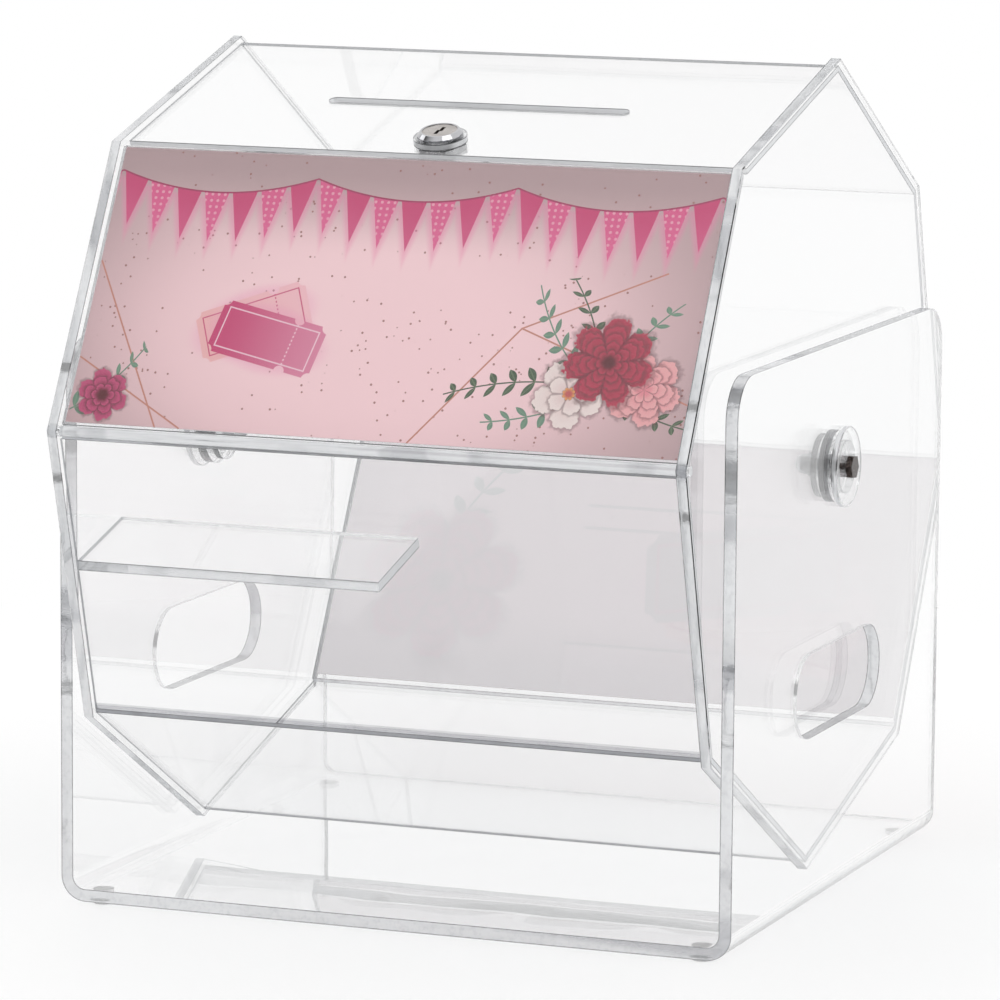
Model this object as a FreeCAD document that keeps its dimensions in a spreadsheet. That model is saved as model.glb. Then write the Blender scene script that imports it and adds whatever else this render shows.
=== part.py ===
"""Clear acrylic raffle drum: an eight-sided box that spins on two hubs in a bent sheet cradle.

Three frames are used. The floor frame has its origin on the floor under the middle of the
axle. The drum frame has its origin on the axle, at the middle of the drum, and is turned with
the drum. A wall frame is the drum frame turned once more, so that its Z axis points out
through one wall of the drum and its Y axis runs up that wall. X is the axle in all of them.
"""
import FreeCAD, Part
import math
import os
import re

import Sketcher

PARTS_FOLDER = "parts"

# Driving dimensions, in millimetres and degrees. Every other size is worked out from these.
DIMENSIONS = {
    # drum
    "drum_radius": 190.0,
    "drum_width": 300.0,
    "rest_turn": 6.8,
    "end_plate_thickness": 5.0,
    "wall_thickness": 3.0,
    "wall_inset": 3.0,
    "polish_chamfer": 0.4,
    "slot_length": 150.0,
    "slot_width": 7.0,
    "paddle_length": 150.0,
    "paddle_depth": 50.0,
    "paddle_thickness": 5.0,
    "paddle_offset": 0.7,
    # door, and the pockets for the two signs
    "door_lap": 7.5,
    "door_rise": 1.5,
    "door_side_gap": 0.5,
    "door_thickness": 3.0,
    "pocket_gap": 0.6,
    "cover_thickness": 1.5,
    "card_thickness": 0.4,
    "card_clearance": 0.2,
    "pocket_rim": 0.8,
    "pocket_foot": 1.5,
    "rod_radius": 2.5,
    "rod_clearance": 0.05,
    "rod_seat": 2.0,
    "hinge_gap": 0.4,
    # lock and the tab that it catches
    "lock_setback": 23.5,
    "spacer_radius": 12.5,
    "spacer_height": 3.0,
    "bezel_radius": 10.7,
    "bezel_height": 2.8,
    "bezel_bevel": 1.6,
    "barrel_radius": 9.0,
    "barrel_depth": 14.0,
    "plug_head_radius": 8.2,
    "plug_head_height": 2.0,
    "plug_recess": 0.3,
    "plug_core_radius": 6.0,
    "lock_clearance": 0.05,
    "fit_clearance": 0.1,
    "keyway_length": 9.0,
    "keyway_width": 1.7,
    "keyway_step": 1.1,
    "keyway_lap": 0.57,
    "keyway_depth": 6.0,
    "lock_nut_flats": 22.0,
    "lock_nut_height": 4.0,
    "cam_length": 22.0,
    "cam_width": 10.0,
    "cam_thickness": 2.0,
    "cam_gap": 0.2,
    "tang_side": 7.0,
    "cam_screw_radius": 2.0,
    "cam_screw_head_radius": 4.0,
    "cam_screw_head_height": 2.2,
    "cam_screw_length": 8.0,
    "tab_width": 47.0,
    "tab_drop": 6.0,
    "tab_thickness": 3.0,
    "tab_notch": 8.0,
    "tab_wall": 4.0,
    "tab_bridge": 16.0,
    # hubs
    "hub_stub_radius": 12.5,
    "hub_clearance": 0.05,
    "hub_end_play": 0.3,
    "hub_disc_radius": 19.0,
    "hub_disc_thickness": 3.0,
    "hub_disc_chamfer": 0.5,
    "inner_disc_radius": 15.0,
    "inner_disc_thickness": 3.0,
    "spacer_ring_radius": 17.0,
    "spacer_ring_play": 0.2,
    "bolt_radius": 3.0,
    "bolt_head_flats": 10.0,
    "bolt_head_height": 3.0,
    "cap_nut_height": 12.0,
    "cap_nut_hex_height": 5.5,
    "cap_nut_dome_radius": 4.7,
    # cradle
    "cradle_thickness": 6.0,
    "cradle_side_gap": 5.0,
    "cradle_floor_gap": 9.3,
    "cradle_front": 151.0,
    "cradle_rear": 156.0,
    "cradle_top": 59.0,
    "cradle_corner_radius": 20.0,
    "bend_radius": 6.0,
    "hand_hole_length": 126.0,
    "hand_hole_height": 40.0,
    "hand_hole_drop": 102.0,
    "foot_radius": 5.0,
    "foot_height": 2.0,
    "foot_bevel": 0.6,
    "foot_side_inset": 17.0,
    "foot_front_inset": 10.0,
    "foot_rear_inset": 23.0,
}

document = FreeCAD.newDocument("raffle_drum")
sheet = document.addObject("Spreadsheet::Sheet", "Sizes")
for row, (alias, number) in enumerate(DIMENSIONS.items(), start=1):
    sheet.set(f"A{row}", alias)
    sheet.set(f"B{row}", str(number))
    sheet.setAlias(f"B{row}", alias)
document.recompute()


def size(text):
    """Turn words that name driving dimensions into an expression that reads them."""
    def read(word):
        """The word as the expression has it."""
        return f"Sizes.{word[0]}" if word[0] in DIMENSIONS else word[0]

    return re.sub(r"(?<![.\w])\w+", read, text)


# A wall of the drum spans an eighth of a turn, so half of it spans HALF_SPAN.
HALF_SPAN = "(180 / 8)"
SPAN = "(360 / 8)"


def mitre(distance):
    """How far from a wall's middle its mitred end lies, at a distance from the axle."""
    return f"( {distance} * tan( {HALF_SPAN} ) )"


# Worked-out sizes, each an expression that reads the driving dimensions.
WALL_OUT = size(f"( drum_radius * cos( {HALF_SPAN} ) - wall_inset )")
WALL_IN = size(f"( {WALL_OUT} - wall_thickness )")
WALL_OUT_HALF = mitre(WALL_OUT)
WALL_IN_HALF = mitre(WALL_IN)
AXLE_HEIGHT = size("( foot_height + cradle_thickness + cradle_floor_gap + drum_radius )")

LOCK_DROP = size(f"( {WALL_OUT_HALF} - lock_setback )")

PLATE_IN = size("( drum_width / 2 )")
PLATE_OUT = size(f"( {PLATE_IN} + end_plate_thickness )")
SIDE_IN = size(f"( {PLATE_OUT} + cradle_side_gap )")
SIDE_OUT = size(f"( {SIDE_IN} + cradle_thickness )")
HUB_SEAT = size(f"( {SIDE_OUT} + hub_end_play )")
HUB_FACE = size(f"( {HUB_SEAT} + hub_disc_thickness )")
BOLT_HOLE = size("( bolt_radius + fit_clearance )")

ROD_OUT = size(f"( {WALL_OUT} - rod_radius )")
ROD_DOWN = mitre(ROD_OUT)
COVER_IN = size(f"( {WALL_OUT} - cover_thickness )")
DOOR_OUT = size(f"( {COVER_IN} - pocket_gap )")
DOOR_IN = size(f"( {DOOR_OUT} - door_thickness )")
DOOR_HALF = size(f"( {PLATE_IN} - door_side_gap )")
DOOR_TOP = size(f"( {WALL_OUT_HALF} + door_rise )")
COVER_FOOT = size(f"( 0 - {ROD_DOWN} + rod_radius + fit_clearance )")
POCKET_FLOOR = size(f"( {COVER_FOOT} + pocket_foot )")
POCKET_HALF = size(f"( {DOOR_HALF} - pocket_rim )")

# The inner faces of the front roof wall and of the door meet this far up the door's frame.
INNER_CORNER = f"( {WALL_IN} / sin( {SPAN} ) - {DOOR_IN} )"
CAM_TOP = size("( 0 - wall_thickness - barrel_depth - cam_gap )")
CAM_DEPTH = size("( barrel_depth + cam_gap + cam_thickness / 2 )")
TAB_NOTCH_MIDDLE = size(f"( {CAM_DEPTH} / sin( {SPAN} ) - tab_drop )")
TAB_DEPTH = size(f"( {TAB_NOTCH_MIDDLE} + tab_notch / 2 + tab_wall )")

WALLS = (
    "roof_front", "door", "front_lower", "bottom_front", "bottom_rear", "rear_lower", "rear_upper", "roof_rear",
)


def wall_turn(wall):
    """The turn about the axle, from upright, that brings a wall's frame to where it rests."""
    return size(f"( {HALF_SPAN} + {WALLS.index(wall)} * {SPAN} - rest_turn )")


def placed(turn, y="0", z="0", about_z="0"):
    """A placement on the axle, turned about it, then moved and turned about Z in the turned frame."""
    on_axle = f"placement(vector(0; 0; {AXLE_HEIGHT}); rotation(vector(1; 0; 0); {turn}))"
    within = f"placement(vector(0; {y}; {z}); rotation(vector(0; 0; 1); {about_z}))"
    return f"{on_axle} * {within}"


DRUM_FRAME = placed(size("( 0 - rest_turn )"))
LOCK_FRAME = placed(wall_turn("roof_front"), f"0 - {LOCK_DROP}", WALL_OUT)
DOOR_FRAME = placed(wall_turn("door"))

# The rear sign's pocket is open towards the wall above it, so its frame has Y pointing that way.
REAR_SIGN_FRAME = placed(wall_turn("rear_lower"), about_z="180")

made = []


def new_body(label, placement=None):
    """Start a sub-part, which is one solid with its own name and place."""
    body = document.addObject("PartDesign::Body", label)
    body.Label = label
    if placement:
        body.setExpression("Placement", placement)
    made.append(body)
    return body


def evaluated(expression):
    """The present value of an expression, as a plain number."""
    return float(sheet.evalExpression(expression))


def new_sketch(body, plane, offset=None):
    """Start a sketch on one of the body's origin planes, moved along its normal by an offset."""
    sketch = body.newObject("Sketcher::SketchObject", body.Label + "_sketch")
    origin_plane = next(feature for feature in body.Origin.OriginFeatures if feature.Role == plane)
    sketch.AttachmentSupport = (origin_plane, [""])
    sketch.MapMode = "FlatFace"
    if offset:
        sketch.setExpression("AttachmentOffset.Base.z", offset)
    return sketch


def hold(sketch, kind, *arguments):
    """Add a dimension to a sketch and bind it to its expression, the last argument."""
    *where, expression = arguments
    index = sketch.addConstraint(Sketcher.Constraint(kind, *where, evaluated(expression)))
    sketch.setExpression(f"Constraints[{index}]", expression)


def add_outline(sketch, points):
    """Draw a closed outline of straight lines through points given as pairs of expressions."""
    first = sketch.GeometryCount
    corners = [FreeCAD.Vector(evaluated(x), evaluated(y), 0) for x, y in points]
    count = len(corners)
    for index in range(count):
        sketch.addGeometry(Part.LineSegment(corners[index], corners[(index + 1) % count]))
    for index in range(count):
        following = first + (index + 1) % count
        sketch.addConstraint(Sketcher.Constraint("Coincident", first + index, 2, following, 1))
    for index, (x, y) in enumerate(points):
        hold(sketch, "DistanceX", -1, 1, first + index, 1, x)
        hold(sketch, "DistanceY", -1, 1, first + index, 1, y)
    return sketch


def add_circle(sketch, x, y, radius):
    """Draw a circle whose centre and radius are expressions."""
    centre = FreeCAD.Vector(evaluated(x), evaluated(y), 0)
    shape = Part.Circle(centre, FreeCAD.Vector(0, 0, 1), evaluated(radius))
    index = sketch.addGeometry(shape)
    hold(sketch, "DistanceX", -1, 1, index, 3, x)
    hold(sketch, "DistanceY", -1, 1, index, 3, y)
    hold(sketch, "Radius", index, radius)
    return sketch


def rectangle(low_x, high_x, low_y, high_y):
    """The corners of a rectangle, in order."""
    return [(low_x, low_y), (high_x, low_y), (high_x, high_y), (low_x, high_y)]


def hexagon(flats):
    """The corners of a hexagon about the sketch's origin, from its width across flats."""
    reach = f"( {flats} / 2 / cos( 30 ) )"
    return [(f"{reach} * cos( {60 * n} )", f"{reach} * sin( {60 * n} )") for n in range(6)]


def pad(body, sketch, length, symmetric=False):
    """Thicken a sketch by a length, along its normal or half to each side of its plane."""
    feature = body.newObject("PartDesign::Pad", body.Label + "_pad")
    feature.Profile = sketch
    feature.setExpression("Length", length)
    feature.SideType = "Symmetric" if symmetric else "One side"
    document.recompute()
    return feature


def pocket(body, sketch, length=None, reverse=False):
    """Cut a sketch out of the body by a length, or right through it both ways."""
    before = body.Shape.Volume
    feature = body.newObject("PartDesign::Pocket", body.Label + "_pocket")
    feature.Profile = sketch
    feature.Reversed = reverse
    if length:
        feature.setExpression("Length", length)
    else:
        feature.SideType = "Symmetric"
        feature.Type = "ThroughAll"
    document.recompute()
    if not body.Shape.Volume < before:
        raise RuntimeError(f"{feature.Label} cuts nothing")
    return feature


def turned(body, outline):
    """Turn an outline of (radius, height) pairs about the body's Z axis."""
    sketch = add_outline(new_sketch(body, "XZ_Plane"), outline)
    feature = body.newObject("PartDesign::Revolution", body.Label + "_turning")
    feature.Profile = sketch
    feature.ReferenceAxis = (sketch, ["V_Axis"])
    feature.Angle = 360
    document.recompute()
    return feature


def edges_where(body, test):
    """The names of the edges of a body's last feature whose two ends pass a test."""
    shape = body.Tip.Shape
    names = []
    for index, edge in enumerate(shape.Edges, start=1):
        if all(test(vertex.Point) for vertex in edge.Vertexes):
            names.append(f"Edge{index}")
    return names


def dress(body, kind, test, property_name, amount):
    """Fillet or chamfer the edges that pass a test."""
    base = body.Tip
    names = edges_where(body, test)
    if not names:
        raise RuntimeError(f"{body.Label} has no such edges")
    feature = body.newObject(f"PartDesign::{kind}", f"{body.Label}_{kind.lower()}")
    feature.Base = (base, names)
    feature.setExpression(property_name, amount)
    document.recompute()
    return feature


def near(value, expression):
    """Whether a coordinate lies at the value of an expression."""
    return math.isclose(value, evaluated(expression), abs_tol=1e-4)


def cradle():
    """One sheet bent into a U, with a bearing hole and a hand hole in each upright side."""
    body = new_body("cradle")
    low = size("foot_height")
    high = size(f"( {AXLE_HEIGHT} + cradle_top )")
    front = size("( 0 - cradle_front )")
    rear = size("cradle_rear")
    block = add_outline(new_sketch(body, "YZ_Plane"), rectangle(front, rear, low, high))
    pad(body, block, f"2 * {SIDE_OUT}", symmetric=True)

    floor_top = size("( foot_height + cradle_thickness )")
    past = size("( 2 * cradle_corner_radius )")
    room = rectangle(f"{front} - {past}", f"{rear} + {past}", floor_top, f"{high} + {past}")
    hollow = body.newObject("PartDesign::Pocket", "cradle_hollow")
    hollow.Profile = add_outline(new_sketch(body, "YZ_Plane"), room)
    hollow.SideType = "Symmetric"
    hollow.setExpression("Length", f"2 * {SIDE_IN}")
    document.recompute()

    outer_bend = size("( bend_radius + cradle_thickness )")
    for side in (-1, 1):
        dress(body, "Fillet", lambda p: near(p.x * side, SIDE_IN) and near(p.z, floor_top), "Radius",
              size("bend_radius"))
        dress(body, "Fillet", lambda p: near(p.x * side, SIDE_OUT) and near(p.z, low), "Radius", outer_bend)
        for end in (front, rear):
            dress(body, "Fillet", lambda p: near(p.y, end) and near(p.z, high) and p.x * side > 0,
                  "Radius", size("cradle_corner_radius"))

    holes = new_sketch(body, "YZ_Plane")
    add_circle(holes, "0", AXLE_HEIGHT, size("( hub_stub_radius + hub_clearance )"))
    pocket(body, holes)
    pocket(body, hand_hole(body))
    return body


def hand_hole(body):
    """A slot with round ends, level, below the axle."""
    sketch = new_sketch(body, "YZ_Plane")
    middle = size(f"( {AXLE_HEIGHT} - hand_hole_drop )")
    radius = size("( hand_hole_height / 2 )")
    reach = size("( hand_hole_length / 2 - hand_hole_height / 2 )")
    return add_round_slot(sketch, reach, radius, middle)


def add_round_slot(sketch, reach, radius, middle):
    """Draw a slot centred on the sketch's vertical axis, whose end arcs lie at plus and minus reach."""
    r, c, m = evaluated(radius), evaluated(reach), evaluated(middle)
    up = FreeCAD.Vector(0, 0, 1)
    right = Part.ArcOfCircle(Part.Circle(FreeCAD.Vector(c, m, 0), up, r), -math.pi / 2, math.pi / 2)
    left = Part.ArcOfCircle(Part.Circle(FreeCAD.Vector(-c, m, 0), up, r), math.pi / 2, 3 * math.pi / 2)
    top = Part.LineSegment(FreeCAD.Vector(c, m + r, 0), FreeCAD.Vector(-c, m + r, 0))
    bottom = Part.LineSegment(FreeCAD.Vector(-c, m - r, 0), FreeCAD.Vector(c, m - r, 0))
    right_arc, left_arc, top_line, bottom_line = sketch.addGeometry([right, left, top, bottom])
    for joint in ((right_arc, 2, top_line, 1), (top_line, 2, left_arc, 1),
                  (left_arc, 2, bottom_line, 1), (bottom_line, 2, right_arc, 1)):
        sketch.addConstraint(Sketcher.Constraint("Tangent", *joint))
    sketch.addConstraint(Sketcher.Constraint("Horizontal", top_line))
    hold(sketch, "DistanceX", -1, 1, right_arc, 3, reach)
    hold(sketch, "DistanceX", -1, 1, left_arc, 3, f"0 - {reach}")
    hold(sketch, "DistanceY", -1, 1, right_arc, 3, middle)
    hold(sketch, "Radius", right_arc, radius)
    return sketch


def foot(end, side):
    """A clear stick-on bumper under one corner of the cradle."""
    label = f"foot_{end}_{'left' if side < 0 else 'right'}"
    body = new_body(label)
    across = size(f"( {side} * ( {SIDE_OUT} - foot_side_inset ) )")
    along = "( foot_front_inset - cradle_front )" if end == "front" else "( cradle_rear - foot_rear_inset )"
    body.setExpression("Placement.Base.x", across)
    body.setExpression("Placement.Base.y", size(along))
    radius = size("foot_radius")
    height = size("foot_height")
    turned(body, [("0", "0"), (size("( foot_radius - foot_bevel )"), "0"), (radius, size("foot_bevel")),
                  (radius, height), ("0", height)])
    return body


def end_plate(side):
    """An eight-sided plate with holes for its hub bolt and for the hinge rod."""
    label = "end_plate_left" if side < 0 else "end_plate_right"
    body = new_body(label, DRUM_FRAME)
    start = PLATE_IN if side > 0 else f"0 - {PLATE_OUT}"
    sketch = new_sketch(body, "YZ_Plane", start)
    radius = size("drum_radius")
    add_outline(sketch, [(f"{radius} * cos( {n} * {SPAN} )", f"{radius} * sin( {n} * {SPAN} )")
                         for n in range(len(WALLS))])
    add_circle(sketch, "0", "0", BOLT_HOLE)
    add_circle(sketch, f"0 - {ROD_OUT} / cos( {HALF_SPAN} )", "0", size("( rod_radius + rod_clearance )"))
    pad(body, sketch, size("end_plate_thickness"))
    dress(body, "Chamfer", lambda p: near(math.hypot(p.y, p.z), radius) and near(abs(p.x), PLATE_OUT), "Size",
          size("polish_chamfer"))
    return body


def wall(label, name, top=None, bottom=None, outer=WALL_OUT, inner=WALL_IN):
    """A flat wall between the end plates. Its ends are mitred, or square where a height is given."""
    body = new_body(label, placed(wall_turn(name)))
    outline = [
        (bottom or f"0 - {mitre(outer)}", outer),
        (top or mitre(outer), outer),
        (top or mitre(inner), inner),
        (bottom or f"0 - {mitre(inner)}", inner),
    ]
    pad(body, add_outline(new_sketch(body, "YZ_Plane"), outline), size("drum_width"), symmetric=True)
    return body


def rear_panel_upper():
    """The upper rear wall, whose lower end is cut back to the plane that the rear card slides out on."""
    body = new_body("rear_panel_upper", placed(wall_turn("rear_upper")))
    cut_back = f"( ( {DOOR_OUT} - {WALL_OUT} * cos( {SPAN} ) ) / sin( {SPAN} ) )"
    outline = [
        (f"0 - {WALL_OUT_HALF}", WALL_OUT), (cut_back, WALL_OUT), (mitre(DOOR_OUT), DOOR_OUT),
        (WALL_IN_HALF, WALL_IN), (f"0 - {WALL_IN_HALF}", WALL_IN),
    ]
    pad(body, add_outline(new_sketch(body, "YZ_Plane"), outline), size("drum_width"), symmetric=True)
    return body


def front_roof():
    """The wall that holds the ticket slot and the lock. The door laps its lower end."""
    body = wall("roof_panel_front", "roof_front", bottom=size(f"( door_lap - {WALL_OUT_HALF} )"))
    slot = new_sketch(body, "XY_Plane")
    reach = size("( slot_length / 2 - slot_width / 2 )")
    pocket(body, add_round_slot(slot, reach, size("( slot_width / 2 )"), "0"))
    lock_hole = new_sketch(body, "XY_Plane")
    add_circle(lock_hole, "0", f"0 - {LOCK_DROP}", size("( barrel_radius + fit_clearance )"))
    pocket(body, lock_hole)
    return body


def paddle():
    """The shelf on the inside of the front lower wall that lifts and mixes the tickets."""
    body = new_body("mixing_paddle", placed(wall_turn("front_lower")))
    sketch = new_sketch(body, "YZ_Plane", f"0 - {PLATE_IN}")
    low = size("paddle_offset")
    add_outline(sketch, rectangle(low, size("( paddle_offset + paddle_thickness )"),
                                  size(f"( {WALL_IN} - paddle_depth )"), WALL_IN))
    pad(body, sketch, size("paddle_length"))
    return body


def door_panel():
    """The door's main sheet, with its lower edge hollowed to seat the hinge rod."""
    body = new_body("door_panel", DOOR_FRAME)
    foot_line = size(f"( rod_seat - {ROD_DOWN} )")
    sheet_outline = rectangle(foot_line, DOOR_TOP, DOOR_IN, DOOR_OUT)
    pad(body, add_outline(new_sketch(body, "YZ_Plane"), sheet_outline), f"2 * {DOOR_HALF}", symmetric=True)
    pocket(body, add_circle(new_sketch(body, "YZ_Plane"), f"0 - {ROD_DOWN}", ROD_OUT, size("rod_radius")))
    return body


def hinge_rod():
    """The rod along the door's lower edge, whose ends turn in the end plates."""
    body = new_body("door_hinge_rod", placed(wall_turn("door"), f"0 - {ROD_DOWN}", ROD_OUT))
    sketch = add_circle(new_sketch(body, "YZ_Plane"), "0", "0", size("rod_radius"))
    pad(body, sketch, f"2 * {PLATE_OUT}", symmetric=True)
    return body


def pocket_rim(label, frame, half, foot):
    """A thin U-shaped strip that keeps a cover off the sheet under it and leaves the pocket's top open."""
    body = new_body(label, frame)
    top = mitre(DOOR_OUT)
    outline = [
        (f"0 - {half}", foot), (half, foot), (half, top), (POCKET_HALF, top), (POCKET_HALF, POCKET_FLOOR),
        (f"0 - {POCKET_HALF}", POCKET_FLOOR), (f"0 - {POCKET_HALF}", top), (f"0 - {half}", top),
    ]
    pad(body, add_outline(new_sketch(body, "XY_Plane", DOOR_OUT), outline), size("pocket_gap"))
    return body


def door_cover():
    """The clear outer sheet of the door's pocket, which ends above the hinge rod."""
    body = new_body("sign_cover", DOOR_FRAME)
    outline = rectangle(COVER_FOOT, WALL_OUT_HALF, COVER_IN, WALL_OUT)
    pad(body, add_outline(new_sketch(body, "YZ_Plane"), outline), f"2 * {DOOR_HALF}", symmetric=True)
    return body


def sign_card(label, frame):
    """A printed card, which slides out of the top of its pocket."""
    body = new_body(label, frame)
    half = size(f"( {POCKET_HALF} - card_clearance )")
    outline = rectangle(f"0 - {half}", half, size(f"( {POCKET_FLOOR} + card_clearance )"), WALL_OUT_HALF)
    behind = size(f"( {DOOR_OUT} + ( pocket_gap - card_thickness ) / 2 )")
    pad(body, add_outline(new_sketch(body, "XY_Plane", behind), outline), size("card_thickness"))
    return body


def lock_tab():
    """A plate on the inside of the door, with a notch that is open on the side the cam comes from."""
    body = new_body("lock_tab", DOOR_FRAME)
    half = size("( tab_width / 2 )")
    tip = size(f"( {DOOR_IN} - {TAB_DEPTH} )")
    notch_low = size(f"( {tip} + tab_wall )")
    notch_high = size(f"( {notch_low} + tab_notch )")
    notch_end = size(f"( {half} - tab_bridge )")
    outline = [
        (f"0 - {half}", DOOR_IN), (f"0 - {half}", notch_high), (notch_end, notch_high),
        (notch_end, notch_low), (f"0 - {half}", notch_low), (f"0 - {half}", tip), (half, tip), (half, DOOR_IN),
    ]
    upper_face = size(f"( {INNER_CORNER} - tab_drop + tab_thickness / 2 )")
    sketch = add_outline(new_sketch(body, "XZ_Plane", f"0 - {upper_face}"), outline)
    pad(body, sketch, size("tab_thickness"))
    return body


def lock_spacer():
    """The clear ring between the lock's bezel and the roof wall."""
    body = new_body("lock_spacer_ring", LOCK_FRAME)
    inner = size("( barrel_radius + fit_clearance )")
    outer = size("spacer_radius")
    turned(body, rectangle(inner, outer, "0", size("spacer_height")))
    return body


def lock_body():
    """The bezel and the threaded barrel, bored in two steps for the plug."""
    body = new_body("lock_body", LOCK_FRAME)
    face = size("( spacer_height + bezel_height )")
    seat = size("spacer_height")
    end = size("( 0 - wall_thickness - barrel_depth )")
    head_bore = size("( plug_head_radius + lock_clearance )")
    core_bore = size("( plug_core_radius + lock_clearance )")
    step = size(f"( {face} - plug_recess - plug_head_height - lock_clearance )")
    turned(body, [
        (head_bore, face), (head_bore, step), (core_bore, step), (core_bore, end),
        (size("barrel_radius"), end), (size("barrel_radius"), seat), (size("bezel_radius"), seat),
        (size("bezel_radius"), size(f"( {face} - bezel_bevel )")),
        (size("( bezel_radius - bezel_bevel )"), face),
    ])
    return body


def lock_nut():
    """The hexagon nut that clamps the lock to the roof wall from inside."""
    body = new_body("lock_nut", LOCK_FRAME)
    sketch = new_sketch(body, "XY_Plane", size("( 0 - wall_thickness - lock_nut_height )"))
    add_outline(sketch, hexagon(size("lock_nut_flats")))
    add_circle(sketch, "0", "0", size("( barrel_radius + lock_clearance )"))
    pad(body, sketch, size("lock_nut_height"))
    return body


def lock_plug():
    """The part that the key turns, with its keyway, and a square tang that carries the cam."""
    body = new_body("lock_plug", LOCK_FRAME)
    face = size("( spacer_height + bezel_height - plug_recess )")
    step = size(f"( {face} - plug_head_height )")
    core = size("plug_core_radius")
    head = size("plug_head_radius")
    turned(body, [("0", face), (head, face), (head, step), (core, step), (core, CAM_TOP), ("0", CAM_TOP)])

    half_tang = size("( tang_side / 2 )")
    tang = new_sketch(body, "XY_Plane", size(f"( {CAM_TOP} - cam_thickness )"))
    add_outline(tang, rectangle(f"0 - {half_tang}", half_tang, f"0 - {half_tang}", half_tang))
    pad(body, tang, size("cam_thickness"))

    screw_hole = new_sketch(body, "XY_Plane", size(f"( {CAM_TOP} - cam_thickness )"))
    add_circle(screw_hole, "0", "0", size("( cam_screw_radius + lock_clearance )"))
    pocket(body, screw_hole, size("( cam_screw_length + cam_gap )"), reverse=True)

    half_key = size("( keyway_length / 2 )")
    lap = size("keyway_lap")
    near_side = size("( ( keyway_width - keyway_step ) / 2 )")
    far_side = size("( ( keyway_width + keyway_step ) / 2 )")
    keyway = new_sketch(body, "XY_Plane", face)
    add_outline(keyway, [
        (f"0 - {near_side}", half_key), (far_side, half_key), (far_side, f"0 - {lap}"),
        (near_side, f"0 - {lap}"), (near_side, f"0 - {half_key}"), (f"0 - {far_side}", f"0 - {half_key}"),
        (f"0 - {far_side}", lap), (f"0 - {near_side}", lap),
    ])
    pocket(body, keyway, size("keyway_depth"))
    return body


def lock_cam():
    """The flat arm that swings into the tab's notch. It points to the left while the lock is open."""
    body = new_body("lock_cam", LOCK_FRAME)
    sketch = new_sketch(body, "XY_Plane", size(f"( {CAM_TOP} - cam_thickness )"))
    half = size("( cam_width / 2 )")
    add_outline(sketch, rectangle(size("( 0 - cam_length )"), half, f"0 - {half}", half))
    half_hole = size("( tang_side / 2 + lock_clearance )")
    add_outline(sketch, rectangle(f"0 - {half_hole}", half_hole, f"0 - {half_hole}", half_hole))
    pad(body, sketch, size("cam_thickness"))
    return body


def cam_screw():
    """The screw that holds the cam on the plug's tang."""
    body = new_body("cam_screw", LOCK_FRAME)
    seat = size(f"( {CAM_TOP} - cam_thickness )")
    under = size(f"( {seat} - cam_screw_head_height )")
    shank = size("cam_screw_radius")
    head = size("cam_screw_head_radius")
    tip = size(f"( {seat} + cam_screw_length )")
    turned(body, [("0", tip), (shank, tip), (shank, seat), (head, seat), (head, under), ("0", under)])
    return body


def side_name(side):
    """The word for the side of the drum that X points away from or towards."""
    return "left" if side < 0 else "right"


def hub_ring(label, side, start, thickness, outer, bore):
    """A flat ring on the axle line. Its start is its face nearer the middle of the drum."""
    body = new_body(f"{label}_{side_name(side)}", DRUM_FRAME)
    offset = start if side > 0 else f"0 - {start} - {thickness}"
    sketch = new_sketch(body, "YZ_Plane", offset)
    add_circle(sketch, "0", "0", outer)
    add_circle(sketch, "0", "0", bore)
    pad(body, sketch, thickness)
    return body


def hub_bolt(side):
    """The dark hexagon bolt through a hub, its end plate and the disc inside."""
    body = new_body(f"hub_bolt_{side_name(side)}", DRUM_FRAME)
    head_start = HUB_FACE if side > 0 else size(f"( 0 - {HUB_FACE} - bolt_head_height )")
    head = new_sketch(body, "YZ_Plane", head_start)
    pad(body, add_outline(head, hexagon(size("bolt_head_flats"))), size("bolt_head_height"))
    tip = size(f"( {PLATE_IN} - inner_disc_thickness - cap_nut_hex_height - bolt_radius )")
    shank = new_sketch(body, "YZ_Plane", tip if side > 0 else f"0 - {HUB_FACE}")
    pad(body, add_circle(shank, "0", "0", size("bolt_radius")), f"( {HUB_FACE} - {tip} )")
    return body


def add_dome(sketch, radius, low, high):
    """Draw half of a post with a round top, beside the sketch's vertical axis."""
    r, foot, top = evaluated(radius), evaluated(low), evaluated(high)
    shoulder = top - r
    corners = [FreeCAD.Vector(*point, 0) for point in ((0, top), (0, foot), (r, foot), (r, shoulder))]
    lines = [Part.LineSegment(corners[index], corners[index + 1]) for index in range(3)]
    circle = Part.Circle(FreeCAD.Vector(0, shoulder, 0), FreeCAD.Vector(0, 0, 1), r)
    axis, base, side_line, crown = sketch.addGeometry(lines + [Part.ArcOfCircle(circle, 0, math.pi / 2)])
    for joint in ((axis, 2, base, 1), (base, 2, side_line, 1), (side_line, 2, crown, 1), (crown, 2, axis, 1)):
        sketch.addConstraint(Sketcher.Constraint("Coincident", *joint))
    sketch.addConstraint(Sketcher.Constraint("Vertical", side_line))
    sketch.addConstraint(Sketcher.Constraint("PointOnObject", crown, 3, -2))
    sketch.addConstraint(Sketcher.Constraint("PointOnObject", axis, 1, -2))
    hold(sketch, "DistanceX", -1, 1, axis, 2, "0")
    hold(sketch, "DistanceY", -1, 1, axis, 2, low)
    hold(sketch, "DistanceY", -1, 1, base, 2, low)
    hold(sketch, "DistanceX", -1, 1, side_line, 2, radius)
    hold(sketch, "DistanceY", -1, 1, side_line, 2, f"{high} - {radius}")
    hold(sketch, "DistanceY", -1, 1, crown, 3, f"{high} - {radius}")
    return sketch


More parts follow.
